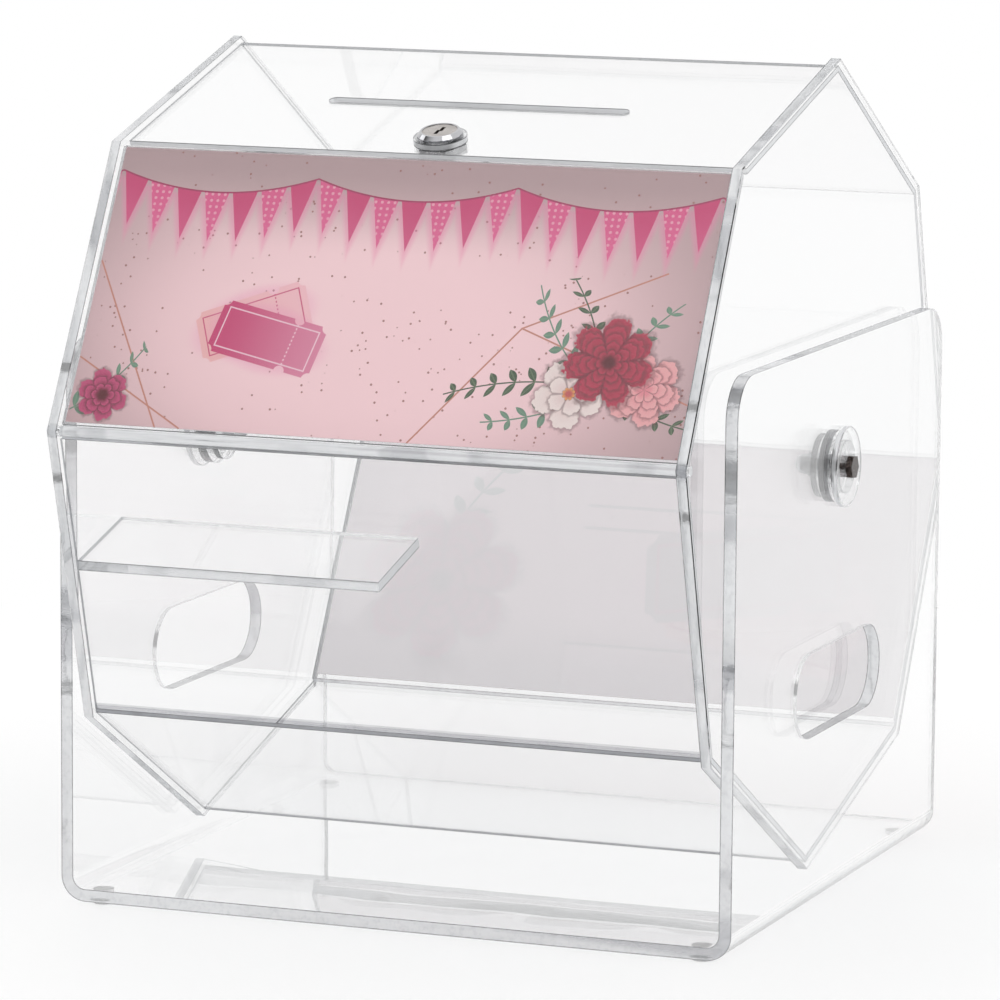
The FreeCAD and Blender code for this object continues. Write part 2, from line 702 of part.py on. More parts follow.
def cap_nut(side):
    """The domed nut on the inner end of a hub bolt. It is made upright and then laid along the axle."""
    body = new_body(f"cap_nut_{side_name(side)}")
    seat = size(f"( {PLATE_IN} - inner_disc_thickness )")
    lie = f"rotation(vector(0; 1; 0); {-90 * side})"
    body.setExpression("Placement", f"placement(vector({side} * {seat}; 0; {AXLE_HEIGHT}); {lie})")
    base = add_outline(new_sketch(body, "XY_Plane"), hexagon(size("bolt_head_flats")))
    pad(body, base, size("cap_nut_hex_height"))
    sketch = add_dome(new_sketch(body, "XZ_Plane"), size("cap_nut_dome_radius"), size("cap_nut_hex_height"),
                      size("cap_nut_height"))
    crown = body.newObject("PartDesign::Revolution", body.Label + "_dome")
    crown.Profile = sketch
    crown.ReferenceAxis = (sketch, ["V_Axis"])
    crown.Angle = 360
    document.recompute()
    thread = add_circle(new_sketch(body, "XY_Plane"), "0", "0", size("( bolt_radius + lock_clearance )"))
    pocket(body, thread, size("( cap_nut_hex_height + bolt_radius + fit_clearance )"), reverse=True)
    return body


def hub(side):
    """Everything on the axle line at one side of the drum."""
    stub_length = f"( {HUB_SEAT} - {PLATE_OUT} )"
    hub_ring("hub_stub", side, PLATE_OUT, stub_length, size("hub_stub_radius"), BOLT_HOLE)
    disc = hub_ring(
        "hub_disc", side, HUB_SEAT, size("hub_disc_thickness"), size("hub_disc_radius"), BOLT_HOLE)
    dress(disc, "Chamfer", lambda p: math.hypot(p.y, p.z) > evaluated(size("hub_stub_radius")), "Size",
          size("hub_disc_chamfer"))
    inner_start = size(f"( {PLATE_IN} - inner_disc_thickness )")
    hub_ring(
        "inner_disc", side, inner_start, size("inner_disc_thickness"), size("inner_disc_radius"), BOLT_HOLE)
    ring_start = size(f"( {PLATE_OUT} + spacer_ring_play )")
    hub_ring("spacer_ring", side, ring_start, size("( cradle_side_gap - 2 * spacer_ring_play )"),
             size("spacer_ring_radius"), size("( hub_stub_radius + fit_clearance )"))
    hub_bolt(side)
    cap_nut(side)


def build():
    """Make every sub-part."""
    cradle()
    for end in ("front", "rear"):
        for side in (-1, 1):
            foot(end, side)
    for side in (-1, 1):
        end_plate(side)
        hub(side)
    front_roof()
    wall("roof_panel_rear", "roof_rear")
    rear_panel_upper()
    wall("rear_panel_lower", "rear_lower", outer=DOOR_OUT, inner=DOOR_IN)
    wall("bottom_panel_rear", "bottom_rear")
    wall("bottom_panel_front", "bottom_front")
    wall("front_panel_lower", "front_lower", top=size(f"( {ROD_DOWN} - rod_radius - hinge_gap )"))
    paddle()
    door_panel()
    hinge_rod()
    pocket_rim("sign_pocket_rim", DOOR_FRAME, DOOR_HALF, COVER_FOOT)
    door_cover()
    sign_card("sign_card", DOOR_FRAME)
    pocket_rim("rear_pocket_rim", REAR_SIGN_FRAME, PLATE_IN, f"0 - {mitre(DOOR_OUT)}")
    wall("rear_sign_cover", "rear_lower", inner=COVER_IN)
    sign_card("rear_sign_card", REAR_SIGN_FRAME)
    lock_tab()
    lock_spacer()
    lock_body()
    lock_nut()
    lock_plug()
    lock_cam()
    cam_screw()


def check():
    """Stop if any object failed or any sub-part isn't one sound solid."""
    for item in document.Objects:
        if "Invalid" in item.State or "Error" in item.State:
            raise RuntimeError(f"{item.Label} failed: {item.State}")
    for body in made:
        shape = body.Shape
        if shape.isNull() or not shape.isValid() or len(shape.Solids) != 1:
            raise RuntimeError(f"{body.Label} isn't one sound solid")


def write():
    """Write each sub-part to its own file."""
    os.makedirs(PARTS_FOLDER, exist_ok=True)
    for body in made:
        body.Shape.exportStep(os.path.join(PARTS_FOLDER, body.Label + ".step"))


build()
document.recompute()
check()
write()
print(f"{len(made)} sub-parts written")
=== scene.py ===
"""Clear acrylic raffle drum in its cradle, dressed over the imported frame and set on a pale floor."""
import logging
import math
from dataclasses import dataclass, field, replace
from enum import Enum
from typing import Iterable, Sequence, Union

import bmesh
import bpy
from mathutils import Matrix, Vector


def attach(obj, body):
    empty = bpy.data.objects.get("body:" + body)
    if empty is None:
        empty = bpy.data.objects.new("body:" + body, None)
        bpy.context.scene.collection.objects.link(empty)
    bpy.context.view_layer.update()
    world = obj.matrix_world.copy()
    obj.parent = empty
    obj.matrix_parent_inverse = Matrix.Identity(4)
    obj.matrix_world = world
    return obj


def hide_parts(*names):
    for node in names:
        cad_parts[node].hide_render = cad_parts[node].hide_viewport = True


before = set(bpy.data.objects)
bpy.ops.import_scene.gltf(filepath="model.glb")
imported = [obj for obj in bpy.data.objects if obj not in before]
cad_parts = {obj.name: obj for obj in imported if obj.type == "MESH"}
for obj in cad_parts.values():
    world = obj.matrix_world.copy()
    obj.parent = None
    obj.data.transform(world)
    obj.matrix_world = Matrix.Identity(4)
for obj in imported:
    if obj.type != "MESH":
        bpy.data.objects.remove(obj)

logging.basicConfig(level=logging.INFO, format="%(message)s")
log = logging.getLogger("raffle_drum")

Node = bpy.types.Node
Socket = bpy.types.NodeSocket
Colour = tuple[float, float, float]
Point = tuple[float, float]
Feed = Union["Number", Socket, float, Sequence[float]]

AXLE = Vector((0.0, 0.0, 0.2073))
DRUM_RADIUS = 0.190
HALF_STEP = 22.5
REST_TURN = 6.8
WALL_SETBACK = 0.003
WALL_THICKNESS = 0.003
COVER_THICKNESS = 0.0015
POCKET_GAP = 0.0006
END_THICKNESS = 0.005
END_INSIDE = 0.150
CRADLE_THICKNESS = 0.006
WALL_OUT = DRUM_RADIUS * math.cos(math.radians(HALF_STEP)) - WALL_SETBACK
WALL_HALF = WALL_OUT * math.tan(math.radians(HALF_STEP))
COVER_IN = WALL_OUT - COVER_THICKNESS
DOOR_OUT = COVER_IN - POCKET_GAP
DISC_MIDDLE = 0.1678
DISC_THICKNESS = 0.003
PADDLE_UP = 0.0032
PADDLE_THICKNESS = 0.005
TAB_UP = 0.0630
TAB_THICKNESS = 0.003
RIM_THICKNESS = 0.0024
HAIR = 0.00003
SIDEWAYS = (1.0, 0.0, 0.0)
NO_AXIS = (0.0, 0.0, 0.0)
WHITE = (1.0, 1.0, 1.0)


class Side(Enum):
    """A side of the drum, as the sign of X there."""

    LEFT = -1
    RIGHT = 1

    @property
    def word(self) -> str:
        """The side's name as the nodes spell it."""
        return self.name.lower()


class Wall(Enum):
    """A wall of the drum, by its place in order from the front roof towards the door."""

    ROOF_FRONT = 0
    DOOR = 1
    FRONT_LOWER = 2
    BOTTOM_FRONT = 3
    BOTTOM_REAR = 4
    REAR_LOWER = 5
    REAR_UPPER = 6
    ROOF_REAR = 7

    @property
    def angle(self) -> float:
        """The turn about the axle, in radians, from upright to where the wall rests."""
        return math.radians(HALF_STEP * (1 + 2 * self.value) - REST_TURN)

    @property
    def outward(self) -> Vector:
        """The wall's outward normal."""
        return Vector((0.0, -math.sin(self.angle), math.cos(self.angle)))

    @property
    def up(self) -> Vector:
        """The direction up the wall, towards the wall before it."""
        return Vector((0.0, math.cos(self.angle), math.sin(self.angle)))

    @property
    def joint(self) -> float:
        """How wide the cemented joint at the wall's lower end shows, in metres."""
        return {Wall.FRONT_LOWER: 0.0042, Wall.BOTTOM_FRONT: 0.0020}.get(self, 0.0)


class Number:
    """A number that a node tree works out, with the usual signs for arithmetic on it."""

    def __init__(self, graph: "Graph", socket: Socket) -> None:
        """Keep the graph and the socket.

        Args:
            graph: The graph of the node tree.
            socket: The output socket that gives the number.
        """
        self.graph = graph
        self.socket = socket

    def __add__(self, other: Feed) -> "Number":
        """This number plus another."""
        return self.graph.maths("ADD", self, other)

    def __radd__(self, other: Feed) -> "Number":
        """A plain number plus this one."""
        return self.graph.maths("ADD", other, self)

    def __sub__(self, other: Feed) -> "Number":
        """This number minus another."""
        return self.graph.maths("SUBTRACT", self, other)

    def __rsub__(self, other: Feed) -> "Number":
        """A plain number minus this one."""
        return self.graph.maths("SUBTRACT", other, self)

    def __mul__(self, other: Feed) -> "Number":
        """This number times another."""
        return self.graph.maths("MULTIPLY", self, other)

    def __truediv__(self, other: Feed) -> "Number":
        """This number divided by another."""
        return self.graph.maths("DIVIDE", self, other)

    def __mod__(self, other: Feed) -> "Number":
        """What is left of this number after whole steps of another."""
        return self.graph.maths("FLOORED_MODULO", self, other)

    def __pow__(self, other: Feed) -> "Number":
        """This number to the power of another."""
        return self.graph.maths("POWER", self, other)

    def __abs__(self) -> "Number":
        """This number without its sign."""
        return self.graph.maths("ABSOLUTE", self)


class Graph:
    """A node tree, with short ways to add nodes and join them."""

    def __init__(self, tree: bpy.types.NodeTree) -> None:
        """Keep the tree.

        Args:
            tree: The node tree that the nodes go in.
        """
        self.tree = tree

    def node(self, kind: str, **settings: object) -> Node:
        """Add a node.

        Args:
            kind: The node's type name.
            settings: Properties to set on it.

        Returns:
            The new node.
        """
        made = self.tree.nodes.new(kind)
        for name, value in settings.items():
            setattr(made, name, value)
        return made

    def feed(self, socket: Socket, value: Feed) -> None:
        """Join a socket to another, or set its plain value.

        Args:
            socket: The input socket.
            value: An output socket or its number, a plain number, or the numbers of a vector or colour.
        """
        if isinstance(value, Number):
            value = value.socket
        if isinstance(value, Socket):
            self.tree.links.new(value, socket)
        elif isinstance(value, (int, float)):
            socket.default_value = value
        else:
            numbers = tuple(value)
            room = len(socket.default_value)
            socket.default_value = numbers + (1.0,) * (room - len(numbers))

    def read(self, node: Node, output: str) -> Number:
        """A node's output as a number."""
        return Number(self, node.outputs[output])

    def maths(self, operation: str, *values: Feed, clamp: bool = False) -> Number:
        """Add a maths node.

        Args:
            operation: The node's operation.
            values: What goes into its sockets, in order.
            clamp: Whether the result is kept from 0 to 1.

        Returns:
            The result.
        """
        made = self.node("ShaderNodeMath", operation=operation, use_clamp=clamp)
        for socket, value in zip(made.inputs, values):
            self.feed(socket, value)
        return self.read(made, "Value")

    def larger(self, first: Feed, second: Feed) -> Number:
        """The larger of two numbers."""
        return self.maths("MAXIMUM", first, second)

    def above(self, value: Feed, level: Feed) -> Number:
        """1 where a number lies above a level, and 0 elsewhere."""
        return self.maths("GREATER_THAN", value, level)

    def below(self, value: Feed, level: Feed) -> Number:
        """1 where a number lies below a level, and 0 elsewhere."""
        return self.maths("LESS_THAN", value, level)

    def vector(self, operation: str, first: Feed, second: Feed) -> Socket:
        """Add a vector maths node that gives a vector.

        Args:
            operation: The node's operation.
            first: The first vector.
            second: The second vector, or the factor of a scale.

        Returns:
            The result's socket.
        """
        made = self.node("ShaderNodeVectorMath", operation=operation)
        self.feed(made.inputs[0], first)
        self.feed(made.inputs["Scale" if operation == "SCALE" else 1], second)
        return made.outputs["Vector"]

    def length(self, vector: Feed) -> Number:
        """Add a vector's length.

        Args:
            vector: The vector.

        Returns:
            Its length.
        """
        made = self.node("ShaderNodeVectorMath", operation="LENGTH")
        self.feed(made.inputs[0], vector)
        return self.read(made, "Value")

    def dot(self, first: Feed, second: Feed) -> Number:
        """Add a dot product.

        Args:
            first: The first vector.
            second: The second vector.

        Returns:
            The product.
        """
        made = self.node("ShaderNodeVectorMath", operation="DOT_PRODUCT")
        self.feed(made.inputs[0], first)
        self.feed(made.inputs[1], second)
        return self.read(made, "Value")

    def turned(self, place: Feed, centre: Feed, turn: Number) -> Socket:
        """Set a motif's own axes.

        Args:
            place: The position.
            centre: Where the motif's own axes start.
            turn: How far they are turned, in radians.

        Returns:
            The position along those axes.
        """
        made = self.node("ShaderNodeVectorRotate", rotation_type="Z_AXIS")
        self.feed(made.inputs["Vector"], self.vector("SUBTRACT", place, centre))
        self.feed(made.inputs["Angle"], turn * -1.0)
        return made.outputs["Vector"]

    def mix(self, factor: Feed, first: Feed, second: Feed) -> Socket:
        """Mix two colours.

        Args:
            factor: How much of the second is used.
            first: The first colour.
            second: The second colour.

        Returns:
            The mixed colour's socket.
        """
        made = self.node("ShaderNodeMix", data_type="RGBA")
        self.feed(made.inputs[0], factor)
        self.feed(made.inputs[6], first)
        self.feed(made.inputs[7], second)
        return made.outputs[2]

    def blend(self, factor: Feed, first: Feed, second: Feed) -> Number:
        """Mix two numbers.

        Args:
            factor: How much of the second is used.
            first: The first number.
            second: The second number.

        Returns:
            The mixed number.
        """
        made = self.node("ShaderNodeMix", data_type="FLOAT")
        self.feed(made.inputs[0], factor)
        self.feed(made.inputs[2], first)
        self.feed(made.inputs[3], second)
        return Number(self, made.outputs[0])

    def shaders(self, factor: Feed, first: Socket, second: Socket) -> Socket:
        """Mix two shaders.

        Args:
            factor: How much of the second is used.
            first: The first shader's socket.
            second: The second shader's socket.

        Returns:
            The mixed shader's socket.
        """
        made = self.node("ShaderNodeMixShader")
        for socket, value in zip(made.inputs, (factor, first, second)):
            self.feed(socket, value)
        return made.outputs[0]

    def coloured(self, kind: str, colour: Feed) -> Socket:
        """Add a plain shader.

        Args:
            kind: The node's type name.
            colour: The shader's colour.

        Returns:
            The shader's socket.
        """
        made = self.node(kind)
        self.feed(made.inputs["Color"], colour)
        return made.outputs[0]

    def ease(self, value: Feed, low: Feed, high: Feed) -> Number:
        """Add a smooth step, which falls where the second place is the lower one.

        Args:
            value: The number that it reads.
            low: Where the step is 0.
            high: Where the step is 1.

        Returns:
            The step's height.
        """
        made = self.node("ShaderNodeMapRange", interpolation_type="SMOOTHSTEP")
        self.feed(made.inputs["Value"], value)
        self.feed(made.inputs["From Min"], low)
        self.feed(made.inputs["From Max"], high)
        return self.read(made, "Result")

    def noise(self, place: Feed, scale: float, detail: float = 2.0,
              stretch: Sequence[float] = (1, 1, 1)) -> Number:
        """Add a noise pattern.

        Args:
            place: The coordinates that it reads.
            scale: Its features per unit of the coordinates, roughly.
            detail: How many finer layers it has.
            stretch: Scale factors along each axis.

        Returns:
            Its value, from 0 to 1.
        """
        made = self.node("ShaderNodeTexNoise")
        made.inputs["Scale"].default_value = scale
        made.inputs["Detail"].default_value = detail
        self.feed(made.inputs["Vector"], self.vector("MULTIPLY", place, stretch))
        return self.read(made, "Fac")

    def dots(self, place: Feed, scale: float, randomness: float = 1.0) -> Node:
        """Add a pattern of dots.

        Args:
            place: The coordinates that it reads.
            scale: Its dots per unit of the coordinates.
            randomness: How far the dots stray from a square net, from 0 to 1.

        Returns:
            The node, with the distance to a dot and each dot's own colour.
        """
        made = self.node("ShaderNodeTexVoronoi")
        made.inputs["Scale"].default_value = scale
        made.inputs["Randomness"].default_value = randomness
        self.feed(made.inputs["Vector"], place)
        return made

    def split(self, vector: Feed) -> tuple[Number, ...]:
        """Take a vector apart.

        Args:
            vector: The vector or colour.

        Returns:
            Its three numbers.
        """
        made = self.node("ShaderNodeSeparateXYZ")
        self.feed(made.inputs[0], vector)
        return tuple(Number(self, socket) for socket in made.outputs)

    def join(self, x: Feed, y: Feed) -> Socket:
        """Make a flat vector of two numbers.

        Args:
            x: Its first number.
            y: Its second number.

        Returns:
            The vector's socket, whose third number is 0.
        """
        made = self.node("ShaderNodeCombineXYZ")
        self.feed(made.inputs[0], x)
        self.feed(made.inputs[1], y)
        return made.outputs[0]

    def place(self, group: bpy.types.NodeTree, **values: Feed) -> Node:
        """Place a shared group.

        Args:
            group: The group's node tree.
            values: Input values by socket name, with underscores for spaces.

        Returns:
            The group's node.
        """
        made = self.node("ShaderNodeGroup", node_tree=group)
        for name, value in values.items():
            self.feed(made.inputs[name.replace("_", " ")], value)
        return made


class SharedGroup:
    """A shader node group that is built once and used in several materials."""

    name = ""
    takes: dict[str, str] = {}
    gives: dict[str, str] = {}
    _kinds = {"number": "NodeSocketFloat", "vector": "NodeSocketVector", "colour": "NodeSocketColor"}
    _built: dict[str, bpy.types.NodeTree] = {}

    @classmethod
    def tree(cls) -> bpy.types.NodeTree:
        """The group's node tree, built on first use.

        Returns:
            The node tree.
        """
        if cls.name not in SharedGroup._built:
            made = bpy.data.node_groups.new(cls.name, "ShaderNodeTree")
            for way, sockets in (("INPUT", cls.takes), ("OUTPUT", cls.gives)):
                for socket, kind in sockets.items():
                    made.interface.new_socket(socket, in_out=way, socket_type=cls._kinds[kind])
            graph = Graph(made)
            start = graph.node("NodeGroupInput")
            end = graph.node("NodeGroupOutput")
            given = {socket: graph.read(start, socket) if kind == "number" else start.outputs[socket]
                     for socket, kind in cls.takes.items()}
            for socket, value in cls.fill(graph, given).items():
                graph.feed(end.inputs[socket], value)
            SharedGroup._built[cls.name] = made
        return SharedGroup._built[cls.name]

    @classmethod
    def fill(cls, graph: Graph, given: dict[str, Feed]) -> dict[str, Feed]:
        """Build the group's nodes.

        Args:
            graph: The group's graph.
            given: Its inputs by name.

        Returns:
            Its outputs by name.
        """
        raise NotImplementedError


class SheetMarks(SharedGroup):
    """The look of a clear sheet: clean broad faces, cut edges with painted glints, painted dark reflections
    and painted dark arris lines, and cemented joints.
    """

    name = "sheet_marks"
    takes = {"Place": "vector", "Flat": "vector", "Edge": "number", "Arris": "number", "Joint": "number",
             "Along": "vector", "Face Tint": "colour", "Edge Tint": "colour", "Glint": "number"}
    gives = {"Tint": "colour", "Cut": "colour", "Shade": "colour", "Roughness": "number",
             "Height": "number"}
    band_scale, streak_scale, saw_scale = 26.0, 1500.0, 260.0
    scuff_scale, smear_scale, ripple_scale = 900.0, 9.0, 14.0
    # Edge and sawn colours: painted dark reflections and painted highlights on the cut edges, and the
    # painted shade of a dark line along each arris.
    edge_dim: Colour = (0.62, 0.63, 0.66)
    edge_bright: Colour = (0.97, 0.98, 1.0)
    edge_streak: Colour = (0.58, 0.59, 0.61)
    edge_arris: Colour = (0.20, 0.205, 0.21)
    cement_pale: Colour = (0.60, 0.605, 0.625)
    cement_dark: Colour = (0.42, 0.425, 0.445)
    sawn_plain: Colour = (0.90, 0.91, 0.92)
    sawn_bright: Colour = (0.97, 0.98, 0.99)
    sawn_dim: Colour = (0.44, 0.45, 0.47)
    sawn_streak: Colour = (0.50, 0.51, 0.53)
    sawn_arris: Colour = (0.14, 0.145, 0.15)
    face_shade: Colour = (0.963, 0.965, 0.968)
    edge_shade: Colour = (0.90, 0.905, 0.915)
    edge_roughness = 0.07

    @classmethod
    def fill(cls, graph: Graph, given: dict[str, Feed]) -> dict[str, Feed]:
        """Build the tints with their painted glints and painted dark reflections, the painted shade of the
        dark arrises, the joint, the scuffs and the saw marks.

        Args:
            graph: The group's graph.
            given: Its inputs by name.

        Returns:
            Its outputs by name.
        """
        place, edge, arris = given["Place"], given["Edge"], given["Arris"]
        # Painted light: noise bands that darken or brighten the cut edges, standing in for reflections and
        # glints.
        reflection_bands = graph.noise(given["Flat"], cls.band_scale)
        painted_darkening = graph.ease(reflection_bands, 0.56, 0.64) * given["Glint"]
        painted_glint = graph.ease(reflection_bands, 0.47, 0.40) * given["Glint"]
        stretched = graph.vector("MULTIPLY", place, given["Along"])
        streaks = graph.ease(graph.noise(stretched, cls.streak_scale), 0.45, 0.75)
        # The edge tint given here is the grey painted shade of the cut edges, under the painted glints.
        edge_tint = graph.mix(painted_darkening, given["Edge Tint"], cls.edge_dim)
        edge_tint = graph.mix(painted_glint, edge_tint, cls.edge_bright)
        edge_tint = graph.mix(streaks * 0.35, edge_tint, cls.edge_streak)
        # Painted shade: a dark line along the arris.
        edge_tint = graph.mix(arris * 0.9, edge_tint, cls.edge_arris)
        cement = graph.mix(streaks, cls.cement_pale, cls.cement_dark)
        tint = graph.mix(edge, graph.mix(given["Joint"], given["Face Tint"], cement), edge_tint)
        # The sawn colour carries the same painted highlights, painted dark reflections and painted dark
        # arris line.
        sawn = graph.mix(painted_darkening, graph.mix(painted_glint, cls.sawn_plain, cls.sawn_bright), cls.sawn_dim)
        sawn = graph.mix(streaks * 0.25, sawn, cls.sawn_streak)
        cut = graph.mix(arris * 0.85, sawn, cls.sawn_arris)
        shade = graph.mix(edge, cls.face_shade, cls.edge_shade)
        scuffs = graph.ease(graph.noise(place, cls.scuff_scale, 4.0), 0.60, 0.75)
        smears = graph.noise(place, cls.smear_scale)
        roughness = graph.blend(edge, scuffs * smears * 0.10, cls.edge_roughness)
        ripple = graph.noise(place, cls.ripple_scale, 1.0)
        height = graph.blend(edge, ripple * 0.9, graph.noise(place, cls.saw_scale))
        return {"Tint": tint, "Cut": cut, "Shade": shade, "Roughness": roughness, "Height": height}


class MetalMarks(SharedGroup):
    """Fine turning lines and smudges on a metal face."""

    name = "metal_marks"
    takes = {"Place": "vector", "Lines": "number", "Low Roughness": "number", "High Roughness": "number"}
    gives = {"Wear": "number", "Roughness": "number", "Height": "number"}
    smudge_scale, line_scale = 160.0, 1400.0

    @classmethod
    def fill(cls, graph: Graph, given: dict[str, Feed]) -> dict[str, Feed]:
        """Build the smudges and the line grain.

        Args:
            graph: The group's graph.
            given: Its inputs by name.

        Returns:
            Its outputs by name.
        """
        smudge = graph.ease(graph.noise(given["Place"], cls.smudge_scale, 3.0), 0.35, 0.7)
        grain = graph.noise(given["Place"], cls.line_scale, stretch=(0.06, 1.0, 1.0))
        roughness = graph.blend(smudge, given["Low Roughness"], given["High Roughness"])
        return {"Wear": smudge, "Roughness": roughness, "Height": grain * given["Lines"]}


class Motif(SharedGroup):
    """A printed motif, laid over the colour that is under it. Its sizes are in millimetres."""

    gives = {"Over": "colour"}

    @classmethod
    def over(cls, graph: Graph, place: Feed, under: Feed, **values: Feed) -> Socket:
        """Print the motif.

        Args:
            graph: The material's graph.
            place: The position on the card.
            under: The colour under the motif.
            values: The group's other inputs by socket name.

        Returns:
            The socket of the colour with the motif over it.
        """
        return graph.place(cls.tree(), Place=place, Under=under, **values).outputs["Over"]


class Blossom(Motif):
    """One ring of petals."""

    name = "blossom"
    takes = {"Place": "vector", "Centre": "vector", "Radius": "number", "Petals": "number", "Turn": "number",
             "Outer": "colour", "Inner": "colour", "Under": "colour"}
    ruffle_scale, vein_scale = 0.38, 1.3
    seam_ink: Colour = (0.10, 0.005, 0.02)
    shadow_ink: Colour = (0.12, 0.03, 0.04)

    @classmethod
    def fill(cls, graph: Graph, given: dict[str, Feed]) -> dict[str, Feed]:
        """Build the petals' outline, their shading and the seams between them.

        Args:
            graph: The group's graph.
            given: Its inputs by name.

        Returns:
            Its outputs by name.
        """
        place = given["Place"]
        reach = graph.vector("SUBTRACT", place, given["Centre"])
        across, along, _ = graph.split(reach)
        distance = graph.length(reach) / given["Radius"]
        angle = graph.maths("ARCTAN2", along, across) + given["Turn"]
        lobe = abs(graph.maths("COSINE", angle * (given["Petals"] * 0.5))) ** 0.55
        ruffle = graph.noise(place, cls.ruffle_scale, 3.0) * 0.34
        rim = lobe * 0.34 + (0.48 + ruffle)
        mask = graph.ease(rim - distance, 0.0, 0.03)
        petal = graph.mix(graph.ease(distance / rim, 0.30, 1.0), given["Inner"], given["Outer"])
        petal = graph.mix(graph.noise(place, cls.vein_scale, 3.0) * 0.55, petal, given["Inner"])
        petal = graph.mix(graph.ease(lobe, 0.25, 0.62), graph.mix(0.55, petal, cls.seam_ink), petal)
        shadow = graph.ease(distance - rim, 0.15, 0.0) * 0.50
        return {"Over": graph.mix(mask, graph.mix(shadow, given["Under"], cls.shadow_ink), petal)}


class Sprig(Motif):
    """A curved stem with pairs of pointed leaves."""

    name = "sprig"
    takes = {"Place": "vector", "Start": "vector", "Turn": "number", "Length": "number",
             "Spacing": "number", "Leaf": "number", "Curve": "number", "Green": "colour", "Under": "colour"}
    patch_scale = 0.22
    fresh_green: Colour = (0.20, 0.26, 0.13)
    vein_green: Colour = (0.42, 0.50, 0.30)
    lean_cosine, lean_sine = 0.82, 0.57

    @classmethod
    def fill(cls, graph: Graph, given: dict[str, Feed]) -> dict[str, Feed]:
        """Build the stem and the leaves, which repeat along it.

        Args:
            graph: The group's graph.
            given: Its inputs by name.

        Returns:
            Its outputs by name.
        """
        along, across, _ = graph.split(graph.turned(given["Place"], given["Start"], given["Turn"]))
        side = abs(across - along * along * given["Curve"])
        within = graph.above(along, 0.0) * graph.below(along, given["Length"])
        cell = along % given["Spacing"] - given["Spacing"] * 0.30
        off_vein = abs(cell * cls.lean_cosine - side * cls.lean_sine)
        up_leaf = cell * cls.lean_sine + side * cls.lean_cosine
        leaf = given["Leaf"] * (1.15 - along * 0.55 / given["Length"])
        run = up_leaf / leaf - 0.5
        width = off_vein / (leaf * 0.85)
        blade = graph.ease(0.25 - run * run - width, 0.0, 0.035)
        stem = graph.ease(side, 0.45, 0.25)
        mask = graph.larger(blade, stem) * within
        vein = graph.ease(off_vein, 0.30, 0.12)
        patches = graph.noise(given["Place"], cls.patch_scale)
        green = graph.mix(patches * 0.30, given["Green"], cls.fresh_green)
        green = graph.mix(vein * 0.22, green, cls.vein_green)
        return {"Over": graph.mix(mask, given["Under"], green)}


class Rule(Motif):
    """A thin straight line between two points."""

    name = "rule"
    takes = {"Place": "vector", "From": "vector", "To": "vector", "Width": "number", "Ink": "colour",
             "Under": "colour"}

    @classmethod
    def fill(cls, graph: Graph, given: dict[str, Feed]) -> dict[str, Feed]:
        """Build the distance to the line and its ink.

        Args:
            graph: The group's graph.
            given: Its inputs by name.

        Returns:
            Its outputs by name.
        """
        reach = graph.vector("SUBTRACT", given["Place"], given["From"])
        run = graph.vector("SUBTRACT", given["To"], given["From"])
        share = graph.maths("DIVIDE", graph.dot(reach, run), graph.dot(run, run), clamp=True)
        off = graph.length(graph.vector("SUBTRACT", reach, graph.vector("SCALE", run, share)))
        mask = graph.ease(given["Width"] - off, -0.08, 0.12)
        return {"Over": graph.mix(mask, given["Under"], given["Ink"])}


class Ticket(Motif):
    """A tear-off ticket with a notched outline, a frame line and a dotted stub line."""

    name = "ticket"
    takes = {"Place": "vector", "Centre": "vector", "Turn": "number", "Ink": "colour", "Line": "colour",
             "Under": "colour"}
    half_length, half_width = 27.0, 13.0
    frame_inset = (3.4, 3.2)
    stub_at, stub_dots = 12.0, 3.2
    notch_radius, corner_radius = 2.5, 2.9
    line_outer, line_inner = 0.42, 0.22
    sheen_ink: Colour = (1.0, 0.62, 0.76)
    shadow_ink: Colour = (0.86, 0.30, 0.50)

    @classmethod
    def fill(cls, graph: Graph, given: dict[str, Feed]) -> dict[str, Feed]:
        """Build the outline, the notches and the lines.

        Args:
            graph: The group's graph.
            given: Its inputs by name.

        Returns:
            Its outputs by name.
        """
        along, across, _ = graph.split(graph.turned(given["Place"], given["Centre"], given["Turn"]))
        long_side, short_side = abs(along), abs(across)
        past_end, past_side = long_side - cls.half_length, short_side - cls.half_width
        inside = (graph.ease(cls.half_length - long_side, -0.1, 0.15)
                  * graph.ease(cls.half_width - short_side, -0.1, 0.15))
        from_stub = along - cls.stub_at
        notch = graph.ease(graph.length(graph.join(from_stub, past_side)), cls.notch_radius,
                           cls.notch_radius + 0.25)
        corner = graph.ease(graph.length(graph.join(past_end, past_side)), cls.corner_radius,
                            cls.corner_radius + 0.25)
        mask = inside * notch * corner
        box = graph.larger(long_side - (cls.half_length - cls.frame_inset[0]),
                           short_side - (cls.half_width - cls.frame_inset[1]))
        border = graph.ease(abs(box), cls.line_outer, cls.line_inner)
        dots = (graph.ease(abs(from_stub), cls.line_outer, cls.line_inner)
                * graph.above(graph.maths("SINE", across * cls.stub_dots), 0.0))
        sheen = graph.ease(along, -30.0, 34.0)
        ink = graph.mix(sheen * 0.35, given["Ink"], cls.sheen_ink)
        printed = graph.mix(graph.larger(border, dots) * 0.85, ink, given["Line"])
        glow = graph.length(graph.join(along / 33.0, across / 18.0))
        shadow = graph.ease(glow, 1.05, 0.75) * 0.35
        return {"Over": graph.mix(mask, graph.mix(shadow, given["Under"], cls.shadow_ink), printed)}


def new_material(name: str) -> tuple[bpy.types.Material, Graph, Node, Node]:
    """Start a node material.

    Args:
        name: The material's name.

    Returns:
        The material, its graph, its Principled node and its output node.
    """
    material = bpy.data.materials.new(name)
    material.use_nodes = True
    graph = Graph(material.node_tree)
    material.node_tree.nodes.clear()
    shader = graph.node("ShaderNodeBsdfPrincipled")
    output = graph.node("ShaderNodeOutputMaterial")
    graph.feed(output.inputs["Surface"], shader.outputs[0])
    return material, graph, shader, output


